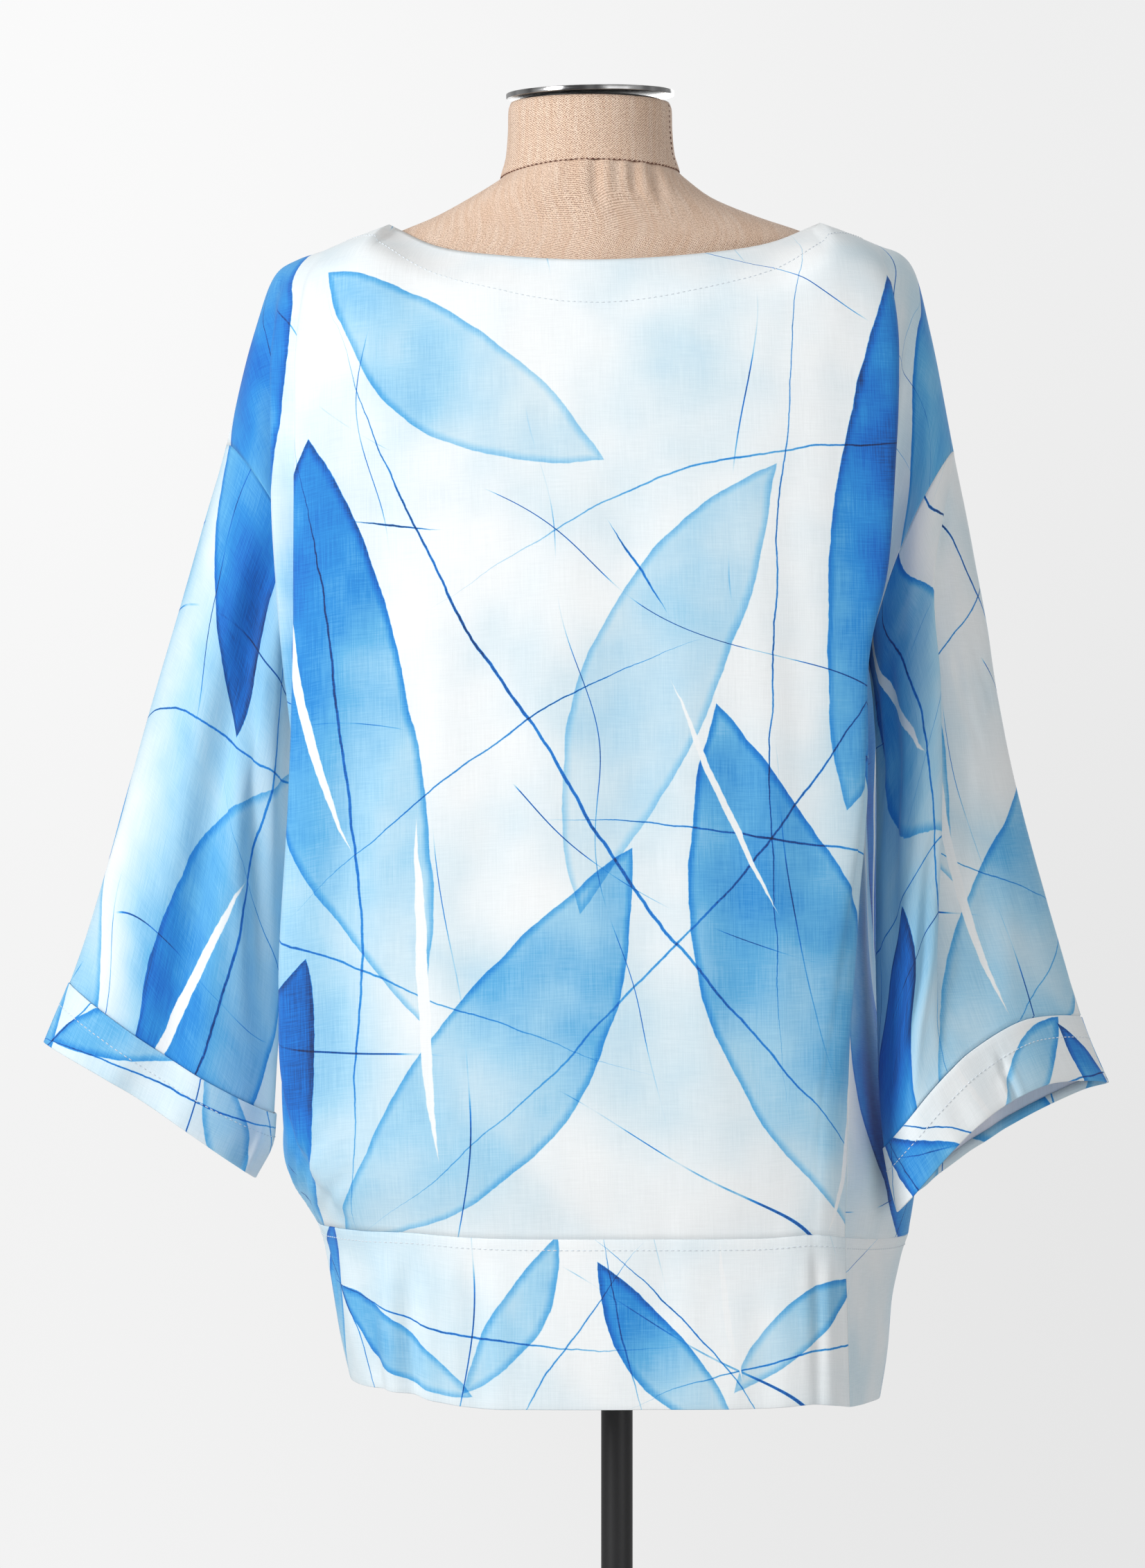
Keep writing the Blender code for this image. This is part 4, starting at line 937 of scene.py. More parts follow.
def motif_group():
    """A node group that tells how much ink one leaf or stem leaves at a spot of the cloth."""
    tree = bpy.data.node_groups.new("Motif", "ShaderNodeTree")
    for kind, names in (("Vector", MOTIF_VECTORS), ("Float", MOTIF_NUMBERS)):
        for name in names:
            tree.interface.new_socket(name, in_out="INPUT", socket_type="NodeSocket" + kind)
    tree.interface.new_socket("Ink", in_out="OUTPUT", socket_type="NodeSocketFloat")
    given = tree.nodes.new("NodeGroupInput").outputs
    net = Net(tree)
    local = net.add("Mapping", {"Vector": given["Spot"], "Location": given["Place"],
                                "Rotation": given["Turn"]}, vector_type="TEXTURE")
    x, y, _ = net.axes(local)
    bow = net.calc("MULTIPLY", net.calc("MULTIPLY", y, y), given["Bend"])
    side = net.calc("ADD", net.calc("ABSOLUTE", net.calc("SUBTRACT", x, bow)), given["Offset"])
    reach = net.calc("SQRT", net.calc("MULTIPLY_ADD", side, side, net.calc("MULTIPLY", y, y)))
    depth = net.calc("SUBTRACT", given["Radius"], reach)
    inside = net.step(depth, net.calc("MULTIPLY", given["Soft"], -1.0), given["Soft"])
    wet = net.calc("MULTIPLY", net.step(depth, WET_EDGE, 0.0, 0.0, 1.0), given["Wet"])
    run = net.calc("DIVIDE", y, given["Length"])
    tail = net.calc("MULTIPLY", net.step(run, 0.8, -0.9), given["Fade"])
    wash = net.calc("MULTIPLY", net.rest(tail), given["Ink"])
    ink = net.calc("MULTIPLY_ADD", wash, given["Mottle"], wet)
    result = tree.nodes.new("NodeGroupOutput")
    tree.links.new(net.calc("MULTIPLY", ink, inside), result.inputs["Ink"])
    return tree


MOTIF = motif_group()


def motif_ink(net, spot, motif, mottle=None):
    """The ink of one motif."""
    length, width = motif.length * CM, motif.width * CM
    radius = (length ** 2 + width ** 2) / (2 * width)
    made = net.tree.nodes.new("ShaderNodeGroup")
    made.node_tree = MOTIF
    values = {"Place": (motif.x * CM, motif.y * CM, 0.0),
              "Turn": (0.0, 0.0, float(np.radians(motif.turn))), "Bend": motif.bend,
              "Radius": radius, "Offset": radius - width, "Length": length,
              "Ink": abs(motif.ink), "Fade": motif.fade, "Wet": motif.wet, "Mottle": 1.0,
              "Soft": motif.soft * CM}
    for name, value in values.items():
        made.inputs[name].default_value = value
    net.tree.links.new(spot, made.inputs["Spot"])
    if mottle is not None:
        net.tree.links.new(mottle, made.inputs["Mottle"])
    return made.outputs[0]


PEN = 0.0005  # half the width of the finest strokes
Stroke = namedtuple("Stroke", "across spacing")
UPRIGHT = Stroke((1.0, 0.1, 0.0), 0.125)  # the way across the strokes, and how far they are apart
ASLANT = Stroke((0.45, 0.9, 0.0), 0.19)
SWAY, JITTER = 0.022, 0.0012  # how far the slow and the fine unevenness move an edge


def pen_lines(net, where, stroke, wander):
    """Fine strokes side by side, which wander a little."""
    run = net.vector("DOT_PRODUCT", where, stroke.across, out=1)
    phase = net.calc("MULTIPLY_ADD", run, 1.0 / stroke.spacing, net.calc("MULTIPLY", wander, 1.6))
    return net.step(net.calc("PINGPONG", phase, 0.5), PEN / stroke.spacing, 0.5 * PEN / stroke.spacing)


def moved(net, where, place, scale, detail, reach):
    """The place, moved by a noise that is taken where the print lies."""
    way = net.vector("SUBTRACT", net.noise(where, scale, detail, out=1), (0.5, 0.5, 0.5))
    return net.vector("MULTIPLY_ADD", way, (reach, reach, 0.0), place)


def print_ink(net, cloth, motifs, shift, turn):
    """How dark the print is at each place of the cloth."""
    placed = net.add("Mapping", {"Vector": cloth, "Location": (shift[0] * CM, shift[1] * CM, 0.0),
                                 "Rotation": (0.0, 0.0, float(np.radians(turn)))}, vector_type="TEXTURE")
    spot = moved(net, placed, placed, 7.0, 3.0, SWAY)
    spot = moved(net, placed, spot, 160.0, 2.0, JITTER)
    blots = net.noise(placed, 14.0, 2.0, 0.45)
    mottle = net.step(blots, 0.28, 0.72, 0.76, 1.16)
    haze = net.noise(placed, 5.0, 3.0, 0.55)
    ink = net.step(net.calc("MULTIPLY_ADD", blots, 0.25, haze), 0.48, 0.92, 0.0, 0.20)
    wander = net.noise(net.stretched(placed, 2.0, 3.4), 1.0, 1.0)
    for stroke, press in ((UPRIGHT, haze), (ASLANT, blots)):
        pen = pen_lines(net, placed, stroke, wander)
        drawn = net.calc("MULTIPLY", pen, net.step(press, 0.45, 0.58, 0.0, 0.8))
        ink = net.calc("MULTIPLY_ADD", drawn, net.rest(ink), ink)
    for motif in (m for m in motifs if m.ink > 0):
        ink = net.calc("MULTIPLY_ADD", motif_ink(net, spot, motif, mottle), net.rest(ink), ink)
    for motif in (m for m in motifs if m.ink < 0):
        ink = net.calc("MULTIPLY", ink, net.rest(motif_ink(net, spot, motif)))
    return ink


WARP, WEFT = (1400.0, 38.0), (60.0, 1300.0)  # how close the threads are across and along
THREAD_RELIEF = 0.0002


def print_material(name, motifs, shift, turn):
    """The right side of the printed slub cloth."""
    made, net, shader = new_material(name, 0.82, sheen=0.12)
    cloth = net.cloth()
    ink = print_ink(net, cloth, motifs, shift, turn)
    warp = net.noise(net.stretched(cloth, *WARP), 1.0, 3.0, 0.6)
    weft = net.noise(net.stretched(cloth, *WEFT), 1.0, 2.0, 0.5)
    threads = net.calc("ADD", net.calc("MULTIPLY", warp, 0.6), net.calc("MULTIPLY", weft, 0.4))
    soaked = net.calc("MULTIPLY", ink, net.step(threads, 0.30, 0.70, 1.10, 0.90), clamp=True)
    net.colour(shader, net.ramp(soaked, WASHES), net.step(threads, 0.25, 0.75, 0.94, 1.02))
    net.bump(shader, threads, THREAD_RELIEF, 0.8)
    return made


def wrong_side_material():
    """The pale back of the printed cloth, where the colour only shines through."""
    made, net, shader = new_material("print_wrong_side", 0.85, sheen=0.10)
    cloth = net.cloth()
    haze = net.step(net.noise(cloth, 9.0, 3.0), 0.42, 0.75)
    threads = net.noise(net.stretched(cloth, 1500.0, 60.0), 1.0, 2.0, 0.6)
    tone = net.blend(haze, shade(229, 232, 243), shade(176, 206, 232))
    net.colour(shader, tone, net.step(threads, 0.3, 0.7, 0.95, 1.02))
    net.bump(shader, threads, THREAD_RELIEF, 0.7)
    return made


Diagonal = namedtuple("Diagonal", "turn spacing share")
DIAGONALS = [Diagonal(36.0, 0.0012, 0.55), Diagonal(-41.0, 0.0013, 0.45)]  # of the form's weave


def linen_material():
    """The form's cover: beige cloth with a close brown weave."""
    made, net, shader = new_material("linen", 0.88, sheen=0.15)
    cloth = net.cloth()
    shift = net.calc("MULTIPLY", net.noise(cloth, 680.0, 1.0), 8.0)
    weave = net.calc("MULTIPLY_ADD", net.noise(cloth, 1100.0, 1.0), 1.4, -0.7)
    for way in DIAGONALS:
        laid = net.add("Mapping", {"Vector": cloth, "Rotation": (0.0, 0.0, float(np.radians(way.turn)))})
        phase = net.calc("MULTIPLY_ADD", net.axes(laid)[1], 2 * np.pi / way.spacing, shift)
        weave = net.calc("MULTIPLY_ADD", net.calc("SINE", phase), way.share, weave)
    dark = net.step(weave, -0.32, 0.74)
    slub = net.noise(net.stretched(cloth, 260.0, 14.0), 1.0, 3.0, 0.6)
    ground = net.blend(net.step(slub, 0.3, 0.7), shade(242, 220, 200), shade(230, 201, 176))
    net.colour(shader, net.blend(dark, ground, shade(150, 112, 90)))
    net.bump(shader, weave, 0.00005, 0.25)
    return made


def plain_material(name, colour, roughness):
    made, net, shader = new_material(name, roughness)
    shader.inputs["Base Color"].default_value = (*colour, 1.0)
    return made, net, shader


STEEL_RIM = (0.975, 0.99)  # shares of the disc's radius where its rim of painted reflections starts and is full


def steel_material():
    """The neck disc: an even top with painted reflections, dark and light bands, round its rim, brushed all
    over.
    """
    made, net, shader = new_material("steel", 0.2, 1.0)
    where = net.place()
    brushed = net.noise(net.stretched(where, 6.0, 6.0, 900.0), 1.0, 2.0)
    # painted reflection: dark and light bands in the rim's colour stand in for what the chrome mirrors
    reflection_bands = net.step(net.noise(net.stretched(where, 42.0, 42.0, 4.0), 1.0, 2.0), 0.36, 0.62)
    rim = net.step(net.from_axis(where), *(DISC_RADIUS * share for share in STEEL_RIM))
    reflection_tone = net.blend(reflection_bands, shade(92, 92, 93), shade(204, 204, 204))
    net.colour(shader, net.blend(rim, shade(208, 208, 207), reflection_tone))
    net.tree.links.new(net.step(brushed, 0.3, 0.7, 0.14, 0.27), shader.inputs["Roughness"])
    return made


def black_material():
    made, net, shader = plain_material("black_metal", shade(24, 24, 26), 0.42)
    grain = net.noise(net.place(), 1800.0, 2.0)
    net.bump(shader, grain, 0.00008, 0.4)
    return made


def thread_material(name, colour, roughness):
    made, net, shader = plain_material(name, colour, roughness)
    twist = net.noise(net.place(), 2600.0, 1.0)
    net.colour(shader, colour, net.step(twist, 0.3, 0.7, 0.86, 1.0))
    net.bump(shader, twist, 0.0001, 0.6)
    return made


# ================================================================ sewing
OUTWARD = {"back": 1, "front": -1, "left": -1, "right": 1}
PUCKER = 0.0006  # of the small unevenness along a seam
PUCKER_SIZE = (0.014, 1.0)
PUCKER_REACH = 0.045
TURN_RADIUS = 0.0007  # of a folded edge
TURN_ANGLES = np.radians([40, 80, 120, 160])
TURN_BACK = 0.006  # how far the cloth goes on inside a folded edge
TURN_IN = 0.0001  # how much deeper it lies at its end
TUCKED_ROWS = [(SEAM_TUCK, 0.0011), (0.0006, 0.0008)]  # how far on and how deep behind a band
SEEDS = {"back": 11, "front": 23, "left": 35, "right": 47}
BAND_SEED, SEAM_SEED = 2, 5  # added for a piece's band, and for the seam between them


def seam_pucker(grid, flat, side):
    """Unevenness along the seam at a grid's first row, the same for both pieces that meet there."""
    line = np.stack([flat[..., 0], 0.0 * flat[..., 1]], axis=-1)
    uneven = PUCKER * clouds(line, PUCKER_SIZE, SEEDS[side] + SEAM_SEED)
    return uneven * (1 - ease(arc(grid), 0.0, PUCKER_REACH))


def edge_frame(grid, closed, sign):
    """At a grid's first row: the direction out of the grid, and the outward normal."""
    way = grid[0] - grid[1]
    way /= np.linalg.norm(way, axis=-1, keepdims=True)
    return way, grid_normals(grid, closed, sign)[0]


def tucked_behind(grid, closed, sign):
    """The grid with its first row carried on behind the band that is sewn over it."""
    way, normal = edge_frame(grid, closed, sign)
    rows = [grid[0] + way * reach - normal * depth for reach, depth in TUCKED_ROWS]
    return np.concatenate([rows, grid])


def folded_edge(grid, closed, sign):
    """The grid with its first row folded under."""
    way, normal = edge_frame(grid, closed, sign)
    bend = [grid[0] + way * (np.sin(a) * TURN_RADIUS) - normal * ((1 - np.cos(a)) * TURN_RADIUS)
            for a in TURN_ANGLES]
    back = bend[-1] - way * TURN_BACK - normal * TURN_IN
    return np.concatenate([[back], bend[::-1], grid])


def sewn_band(grid, flat, creases, side, hold, pucker, closed, sign):
    """A cuff or the hem band, from its seam to its open edge: flat, and with both edges folded."""
    made = creased(grid, flat, creases, SEEDS[side] + BAND_SEED, hold, closed, sign, pucker)
    made = made + grid_normals(made, closed, sign) * BAND_PROUD
    folded = folded_edge(made, closed, sign)[::-1]
    return made, folded_edge(folded, closed, -sign)[::-1]


PANELS, ACROSS, UPWARD = fine_panels()
BANDS = fine_bands(ACROSS)
MIDDLE = sum(ACROSS[:SIDE_POINTS])
UNDERARM = sum(UPWARD[:len(LOW_LEVELS) - 1])
SIDES = ("left", "right")
SLEEVES = {side: fine_sleeve(side, PANELS, UNDERARM) for side in SIDES}
CUFFS = {side: fine_cuff(side, SLEEVES[side].shape[1] // 2) for side in SIDES}

CREASES = {
    "back": [
        Crease(3.0, 8.0, 2.0, 52.0, 0.8, 2.4, 0.14),
        Crease(-9.0, 10.0, -7.5, 46.0, -0.7, 2.0, 0.12),
        Crease(9.5, 6.0, 8.5, 40.0, 0.6, 1.6, 0.13),
        Crease(-17.5, 5.0, -15.0, 42.0, 0.9, 1.5, 0.16),
        Crease(-14.0, 30.0, -16.5, 60.0, -0.7, 1.7, 0.13),
        Crease(13.5, 22.0, 12.5, 54.0, 0.5, 1.3, 0.14),
        Crease(-25.5, 0.2, -21.5, 7.0, 0.4, 0.5, 0.30),
        Crease(-23.8, 0.2, -18.5, 8.5, 0.6, 0.6, 0.26),
        Crease(-21.5, 0.2, -16.5, 5.5, 0.3, 0.45, 0.18),
        Crease(-10.0, 62.0, -19.5, 68.5, 0.5, 0.9, 0.10),
        Crease(11.0, 62.5, 17.0, 67.5, -0.4, 0.8, 0.10),
    ],
    "front": [
        Crease(-4.0, 6.0, -3.0, 48.0, 0.9, 2.4, 0.18),
        Crease(7.0, 10.0, 8.0, 44.0, -0.9, 2.0, 0.20),
        Crease(-12.0, 4.0, -10.5, 36.0, 0.7, 1.8, 0.20),
        Crease(14.0, 3.0, 15.0, 30.0, 0.8, 1.5, 0.24),
        Crease(-19.0, 8.0, -16.5, 46.0, -0.8, 1.5, 0.22),
        Crease(2.0, 30.0, 4.5, 58.0, 0.7, 1.9, 0.14),
        Crease(-8.0, 38.0, -13.0, 62.0, 0.6, 1.5, 0.14),
        Crease(19.5, 16.0, 17.0, 50.0, 0.6, 1.4, 0.22),
        Crease(24.5, 0.2, 20.5, 8.0, -0.4, 0.6, 0.26),
        Crease(-24.5, 0.2, -20.0, 7.5, 0.4, 0.6, 0.26),
    ],
    "left": [
        Crease(10.6, 9.0, 16.2, 28.5, -0.4, 1.1, 0.50),
        Crease(13.2, 3.0, 16.4, 17.0, -0.3, 0.8, 0.30),
        Crease(5.2, 3.0, 3.4, 25.0, 0.5, 1.6, 0.16),
        Crease(8.6, 12.0, 9.4, 32.0, -0.4, 1.3, 0.14),
        Crease(19.2, 1.0, 18.0, 12.0, 0.3, 0.7, 0.25),
        Crease(25.0, 3.0, 23.0, 27.0, 0.6, 1.5, 0.34),
        Crease(29.5, 5.0, 29.0, 31.0, -0.5, 1.7, 0.26),
        Crease(34.0, 8.0, 35.5, 33.0, 0.5, 1.5, 0.28),
        Crease(37.6, 2.5, 36.2, 16.0, 0.3, 1.0, 0.20),
        Crease(22.0, 1.0, 24.5, 10.0, -0.3, 0.8, 0.28),
    ],
    "right": [
        Crease(15.2, 4.0, 17.0, 27.0, -0.5, 0.9, 0.34),
        Crease(12.2, 24.0, 17.5, 39.0, 0.4, 0.8, 0.24),
        Crease(3.2, 12.5, 1.2, 18.5, 0.3, 0.5, 0.12),
        Crease(5.2, 13.0, 3.4, 20.5, -0.3, 0.5, 0.12),
        Crease(4.6, 24.0, 8.5, 37.5, 0.5, 1.0, 0.13),
        Crease(18.6, 1.0, 18.8, 13.0, 0.3, 0.7, 0.26),
        Crease(25.5, 3.0, 24.0, 30.0, 0.6, 1.5, 0.32),
        Crease(30.0, 6.0, 31.0, 34.0, -0.6, 1.7, 0.28),
        Crease(35.0, 4.0, 33.5, 26.0, 0.5, 1.4, 0.26),
        Crease(38.5, 8.0, 38.8, 33.0, -0.4, 1.2, 0.20),
    ],
}
# For the bands y runs from the seam down.
BAND_CREASES = {
    "back": [
        Crease(-13.3, 2.0, -12.9, 15.0, 0.1, 0.7, 0.34),
        Crease(-14.8, 1.0, -14.6, 15.0, 0.1, 0.8, -0.30),
        Crease(-8.7, -2.0, -8.3, 15.0, 0.2, 0.9, 0.16),
        Crease(-18.5, -2.0, -17.0, 10.0, 0.3, 0.9, 0.22),
        Crease(-24.5, -3.0, -21.5, 5.5, -0.3, 0.5, 0.26),
        Crease(-26.0, -3.0, -24.0, 6.5, -0.2, 0.5, 0.24),
        Crease(3.0, -2.0, 3.4, 14.0, 0.3, 1.5, 0.12),
        Crease(9.5, 2.0, 9.2, 16.0, -0.3, 1.1, 0.14),
        Crease(13.6, -3.0, 13.8, 14.0, 0.1, 0.5, 0.16),
    ],
    "front": [
        Crease(16.0, -3.0, 15.6, 14.0, 0.2, 0.7, 0.30),
        Crease(20.5, -2.0, 20.0, 12.0, 0.2, 0.6, 0.28),
        Crease(23.6, -3.0, 23.2, 14.0, -0.2, 0.5, 0.26),
        Crease(-5.0, -2.0, -5.6, 13.0, 0.3, 1.3, 0.18),
        Crease(4.5, 1.0, 4.0, 16.0, 0.3, 1.2, 0.18),
        Crease(-14.0, -2.0, -14.6, 12.0, 0.3, 0.9, 0.24),
        Crease(-22.5, -3.0, -20.5, 6.5, 0.2, 0.5, 0.26),
    ],
}
CUFF_CREASES = {
    "left": [
        Crease(18.1, -3.0, 18.3, 9.0, 0.0, 0.32, -0.14),
        Crease(9.0, -2.0, 8.0, 8.0, 0.2, 0.9, 0.12),
        Crease(26.0, -2.0, 26.5, 8.0, 0.2, 0.9, 0.20),
        Crease(33.0, -2.0, 32.0, 8.0, 0.2, 0.9, 0.20),
    ],
    "right": [
        Crease(9.1, -1.0, 9.9, 9.0, 0.05, 0.30, 0.26),
        Crease(8.2, 1.0, 10.4, 2.6, 0.1, 0.30, 0.14),
        Crease(14.5, -2.0, 13.6, 7.0, 0.2, 0.8, 0.14),
        Crease(27.0, -2.0, 27.5, 8.0, 0.2, 0.9, 0.20),
        Crease(34.5, -2.0, 33.0, 8.0, 0.2, 0.9, 0.20),
    ],
}


WRONG_SIDE = wrong_side_material()


def both_sides(name, motifs, shift=(0.0, 0.0), turn=0.0):
    """The materials of one piece: its print, moved and turned, and the wrong side of the cloth."""
    return [print_material("print_" + name, motifs, shift, turn), WRONG_SIDE]


def panel_cloth(name, grid, face, materials):
    return cloth_piece(name, grid, flat_of_panel(grid, MIDDLE), materials, False, OUTWARD[face] < 0)


def tube_cloth(name, grid, side, materials):
    return cloth_piece(name, grid, flat_of_tube(grid), materials, True, OUTWARD[side] < 0)


def sew_panel(face, materials):
    """A panel's creased grid, and the piece."""
    grid, sign = PANELS[face], OUTWARD[face]
    flat = flat_of_panel(grid, MIDDLE)
    sides = held(grid, "first", "last")
    hold = sides * held(grid, "top") * held(grid, "bottom", fade=HEM_FADE)
    pucker = seam_pucker(grid, flat, face) * sides
    shaped = creased(grid, flat, CREASES[face], SEEDS[face], hold, False, sign, pucker)
    return shaped, panel_cloth(face + "_cloth", tucked_behind(shaped, False, sign), face, materials)


def sew_hem_band(face, materials):
    """Half the hem band: its creased grid from the seam down, and the piece."""
    grid = BANDS[face][::-1]
    flat = flat_of_panel(grid, MIDDLE)
    sides = held(grid, "first", "last", fade=BAND_FADE)
    hold, pucker = sides * held(grid, "bottom"), seam_pucker(grid, flat, face) * sides
    shaped, folded = sewn_band(grid, flat, BAND_CREASES[face], face, hold, pucker, False, -OUTWARD[face])
    return shaped, panel_cloth(face + "_hem_cloth", folded[::-1], face, materials)


def sew_sleeve(side, materials):
    """A sleeve, held at the armhole and the cuff, and tucked behind the cuff."""
    grid, sign = SLEEVES[side], OUTWARD[side]
    flat = flat_of_tube(grid)
    hold = held(grid, "bottom", fade=SLEEVE_FADE) * held(grid, "top")
    pucker = seam_pucker(grid[::-1], flat[::-1], side)[::-1]
    shaped = creased(grid, flat, CREASES[side], SEEDS[side], hold, True, sign, pucker)
    whole_grid = tucked_behind(shaped[::-1], True, -sign)[::-1]
    return tube_cloth(side + "_sleeve_cloth", whole_grid, side, materials)


def sew_cuff(side, materials):
    """A cuff's creased grid from the seam down, and the piece."""
    grid = CUFFS[side]
    flat = flat_of_tube(grid)
    hold, pucker = held(grid, "bottom"), seam_pucker(grid, flat, side)
    shaped, folded = sewn_band(grid, flat, CUFF_CREASES[side], side, hold, pucker, True, OUTWARD[side])
    return shaped, tube_cloth(side + "_cuff_cloth", folded, side, materials)


back, back_cloth = sew_panel("back", both_sides("back", LARGE_PRINT))
front, front_cloth = sew_panel("front", both_sides("front", LARGE_PRINT, (2.0, 68.0), 180.0))
back_band, back_hem = sew_hem_band("back", both_sides("back_hem", SMALL_PRINT))
front_band, front_hem = sew_hem_band("front", both_sides("front_hem", SMALL_PRINT, (1.0, 11.0), 180.0))
left_sleeve_cloth = sew_sleeve("left", both_sides("left_sleeve", LARGE_PRINT, (30.0, -6.0)))
right_sleeve_cloth = sew_sleeve("right", both_sides("right_sleeve", LARGE_PRINT, (-4.0, 44.0), 180.0))
left_cuff, left_cuff_cloth = sew_cuff("left", both_sides("left_cuff", SMALL_PRINT, (22.0, -3.0)))
right_cuff, right_cuff_cloth = sew_cuff("right", both_sides("right_cuff", SMALL_PRINT, (20.0, 10.0), 180.0))


# ================================================================ the dress form
FORM_SIDES = 160
BEVEL_STEPS = 5
PLATE_GAP, PLATE_BEVEL = 0.0003, 0.0004
DISC_GAP, DISC_BEVEL = 0.0006, DISC_HEIGHT * 0.16
CAP_SHARES = (0.02, 0.5, 0.97)  # of an end ring's size, from the middle out
BACK_COLUMN = 3 * FORM_SIDES // 4
SIDE_COLUMN = FORM_SIDES - 7  # of the seam down the right of the neck
SEAM_DIP = 0.10  # centimetres that the cover draws in at the neck seam
SEAM_LAP = 0.02  # centimetres that the neck's cover starts below the seam
SEAM_ROLL = 0.12  # centimetres below the seam where the torso's cover starts to draw in
SEAM_ARCH = (0.0065, 0.0025)  # how far the seam hangs lower at the left and the right
SHOULDER_ARCH = 0.6  # of that arch in the torso's ring below the seam
TORSO_STEP, NECK_STEP = 0.004 * COARSE, 0.003 * COARSE  # spacing of the mesh up and down
NECK_PUCKERS = [
    Crease(0.3, 0.3, 0.2, -3.3, 0.10, 0.36, 0.24),
    Crease(1.7, 0.3, 1.9, -2.4, 0.05, 0.30, 0.11),
    Crease(3.0, 0.3, 3.1, -2.9, -0.10, 0.36, 0.18),
    Crease(4.4, 0.3, 4.7, -3.6, 0.12, 0.42, 0.16),
    Crease(-1.3, 0.3, -1.5, -2.0, 0.0, 0.30, 0.08),
]


def oval(level):
    """A section of the form: an oval that is deeper on one side than on the other."""
    turn = 2 * np.pi * np.arange(FORM_SIDES) / FORM_SIDES
    c, s = np.cos(turn), np.sin(turn)
    power = 2.0 / level.squareness
    depth = np.where(s > 0, level.front, level.back)
    return np.stack([level.middle + level.half_width * np.sign(c) * abs(c) ** power,
                     depth * np.sign(s) * abs(s) ** power, np.full(FORM_SIDES, level.z)], axis=1) * CM


def capped(grid):
    """The grid with its open ends drawn together."""
    ends = [grid[0].mean(axis=0), grid[-1].mean(axis=0)]
    first = [ends[0] + (grid[0] - ends[0]) * share for share in CAP_SHARES]
    last = [ends[1] + (grid[-1] - ends[1]) * share for share in CAP_SHARES]
    return np.concatenate([first, grid, last[::-1]])


def covered(name, rings, step, material, creases=()):
    """A stuffed and covered body through level rings, from the lowest up."""
    grid = through(rings, span_counts(rings, step))
    flat = flat_of_panel(grid, BACK_COLUMN)
    flat[..., 1] -= flat[-1, :, 1]
    grid = capped(grid - grid_normals(grid, True) * all_creases(flat, creases)[..., None])
    return grid_mesh(name, grid, flat_of_panel(grid, BACK_COLUMN), [material], closed=True)


def dipped(level, by, rise):
    """A torso level drawn in by some centimetres, and raised."""
    return level._replace(half_width=level.half_width - by, back=level.back - by,
                          front=level.front - by, z=level.z + rise)


def arched(ring, share):
    """A ring whose sides hang lower than its back and front."""
    middle = ring[:, 0].mean()
    side = (ring[:, 0] - middle) / np.abs(ring[:, 0] - middle).max()
    drop = share * side ** 2 * np.where(side < 0, *SEAM_ARCH)
    return ring - np.stack([0.0 * drop, 0.0 * drop, drop], axis=1)


def neck_rings():
    """Rings from just inside the neck seam up to the neck's top."""
    foot = TORSO[-1]._replace(z=NECK_BASE_Z / CM)
    top = Torso(*(v / CM for v in (NECK_TOP_Z, NECK_X, NECK_WAIST, NECK_BACK, NECK_FRONT)), foot.squareness)
    levels = [Torso(*(a + (b - a) * share for a, b in zip(foot, top))) for share, _ in NECK_LEVELS]
    levels = [dipped(level, pinch / CM, 0.0) for level, (_, pinch) in zip(levels, NECK_LEVELS)]
    rings = [arched(oval(level), 1 - share) for level, (share, _) in zip(levels, NECK_LEVELS)]
    return [arched(oval(dipped(foot, SEAM_DIP, -SEAM_LAP)), 1.0), *rings]


def torso_rings():
    """Rings from the torso's lower edge up to just inside the neck seam."""
    rings = [oval(level) for level in TORSO[:-2]] + [arched(oval(TORSO[-2]), SHOULDER_ARCH)]
    return rings + [arched(oval(dipped(TORSO[-1], *by)), 1.0) for by in ((0.0, -SEAM_ROLL), (SEAM_DIP, 0.0))]


def rounded(radius, half, bevel):
    """The profile of a disc with a rounded rim, from its top down."""
    turn = np.linspace(0.0, np.pi / 2, BEVEL_STEPS)
    upper = [(radius - bevel + bevel * np.sin(a), half - bevel + bevel * np.cos(a)) for a in turn]
    return upper + [(r, -z) for r, z in reversed(upper)]


def profile(radius, height, shares, foot=0.0):
    """The points of a profile from their shares of a radius and a height."""
    return [(radius * out, foot + height * up) for out, up in shares]


# Profiles from the top down, as shares of a radius and a height.
COLLAR_SHARES = [(0.9, 0.97), (0.97, 0.93), (1.0, 0.86), (1.0, 0.0)]
CROWN_SHARES = [(0.3, 0.93), (0.55, 0.72), (0.8, 0.5)]  # the upper side of the base
RIM_SHARES = [(0.93, 1.35), (0.985, 1.0), (1.0, 0.8), (1.0, 0.0)]  # and its edge
CROWN_RADIUS = COLLAR_RADIUS * 1.6  # of the flat middle of the base
COLLAR_TOP = BASE_HEIGHT + COLLAR_HEIGHT
linen = linen_material()
steel = steel_material()
black = black_material()
torso = covered("torso_cover", torso_rings(), TORSO_STEP, linen, NECK_PUCKERS)
neck = covered("neck_cover", neck_rings(), NECK_STEP, linen)
plate = turned("plate", rounded(PLATE_RADIUS, PLATE_HEIGHT / 2, PLATE_BEVEL), black,
               centre=(NECK_X, 0.0, NECK_TOP_Z + PLATE_HEIGHT / 2 + PLATE_GAP))
disc_z = NECK_TOP_Z + PLATE_HEIGHT + DISC_HEIGHT / 2 + PLATE_RADIUS * sum(map(abs, DISC_TILT)) + DISC_GAP
disc = turned("disc", rounded(DISC_RADIUS, DISC_HEIGHT / 2, DISC_BEVEL), steel,
              centre=(NECK_X, 0.0, disc_z), tilt=DISC_TILT)
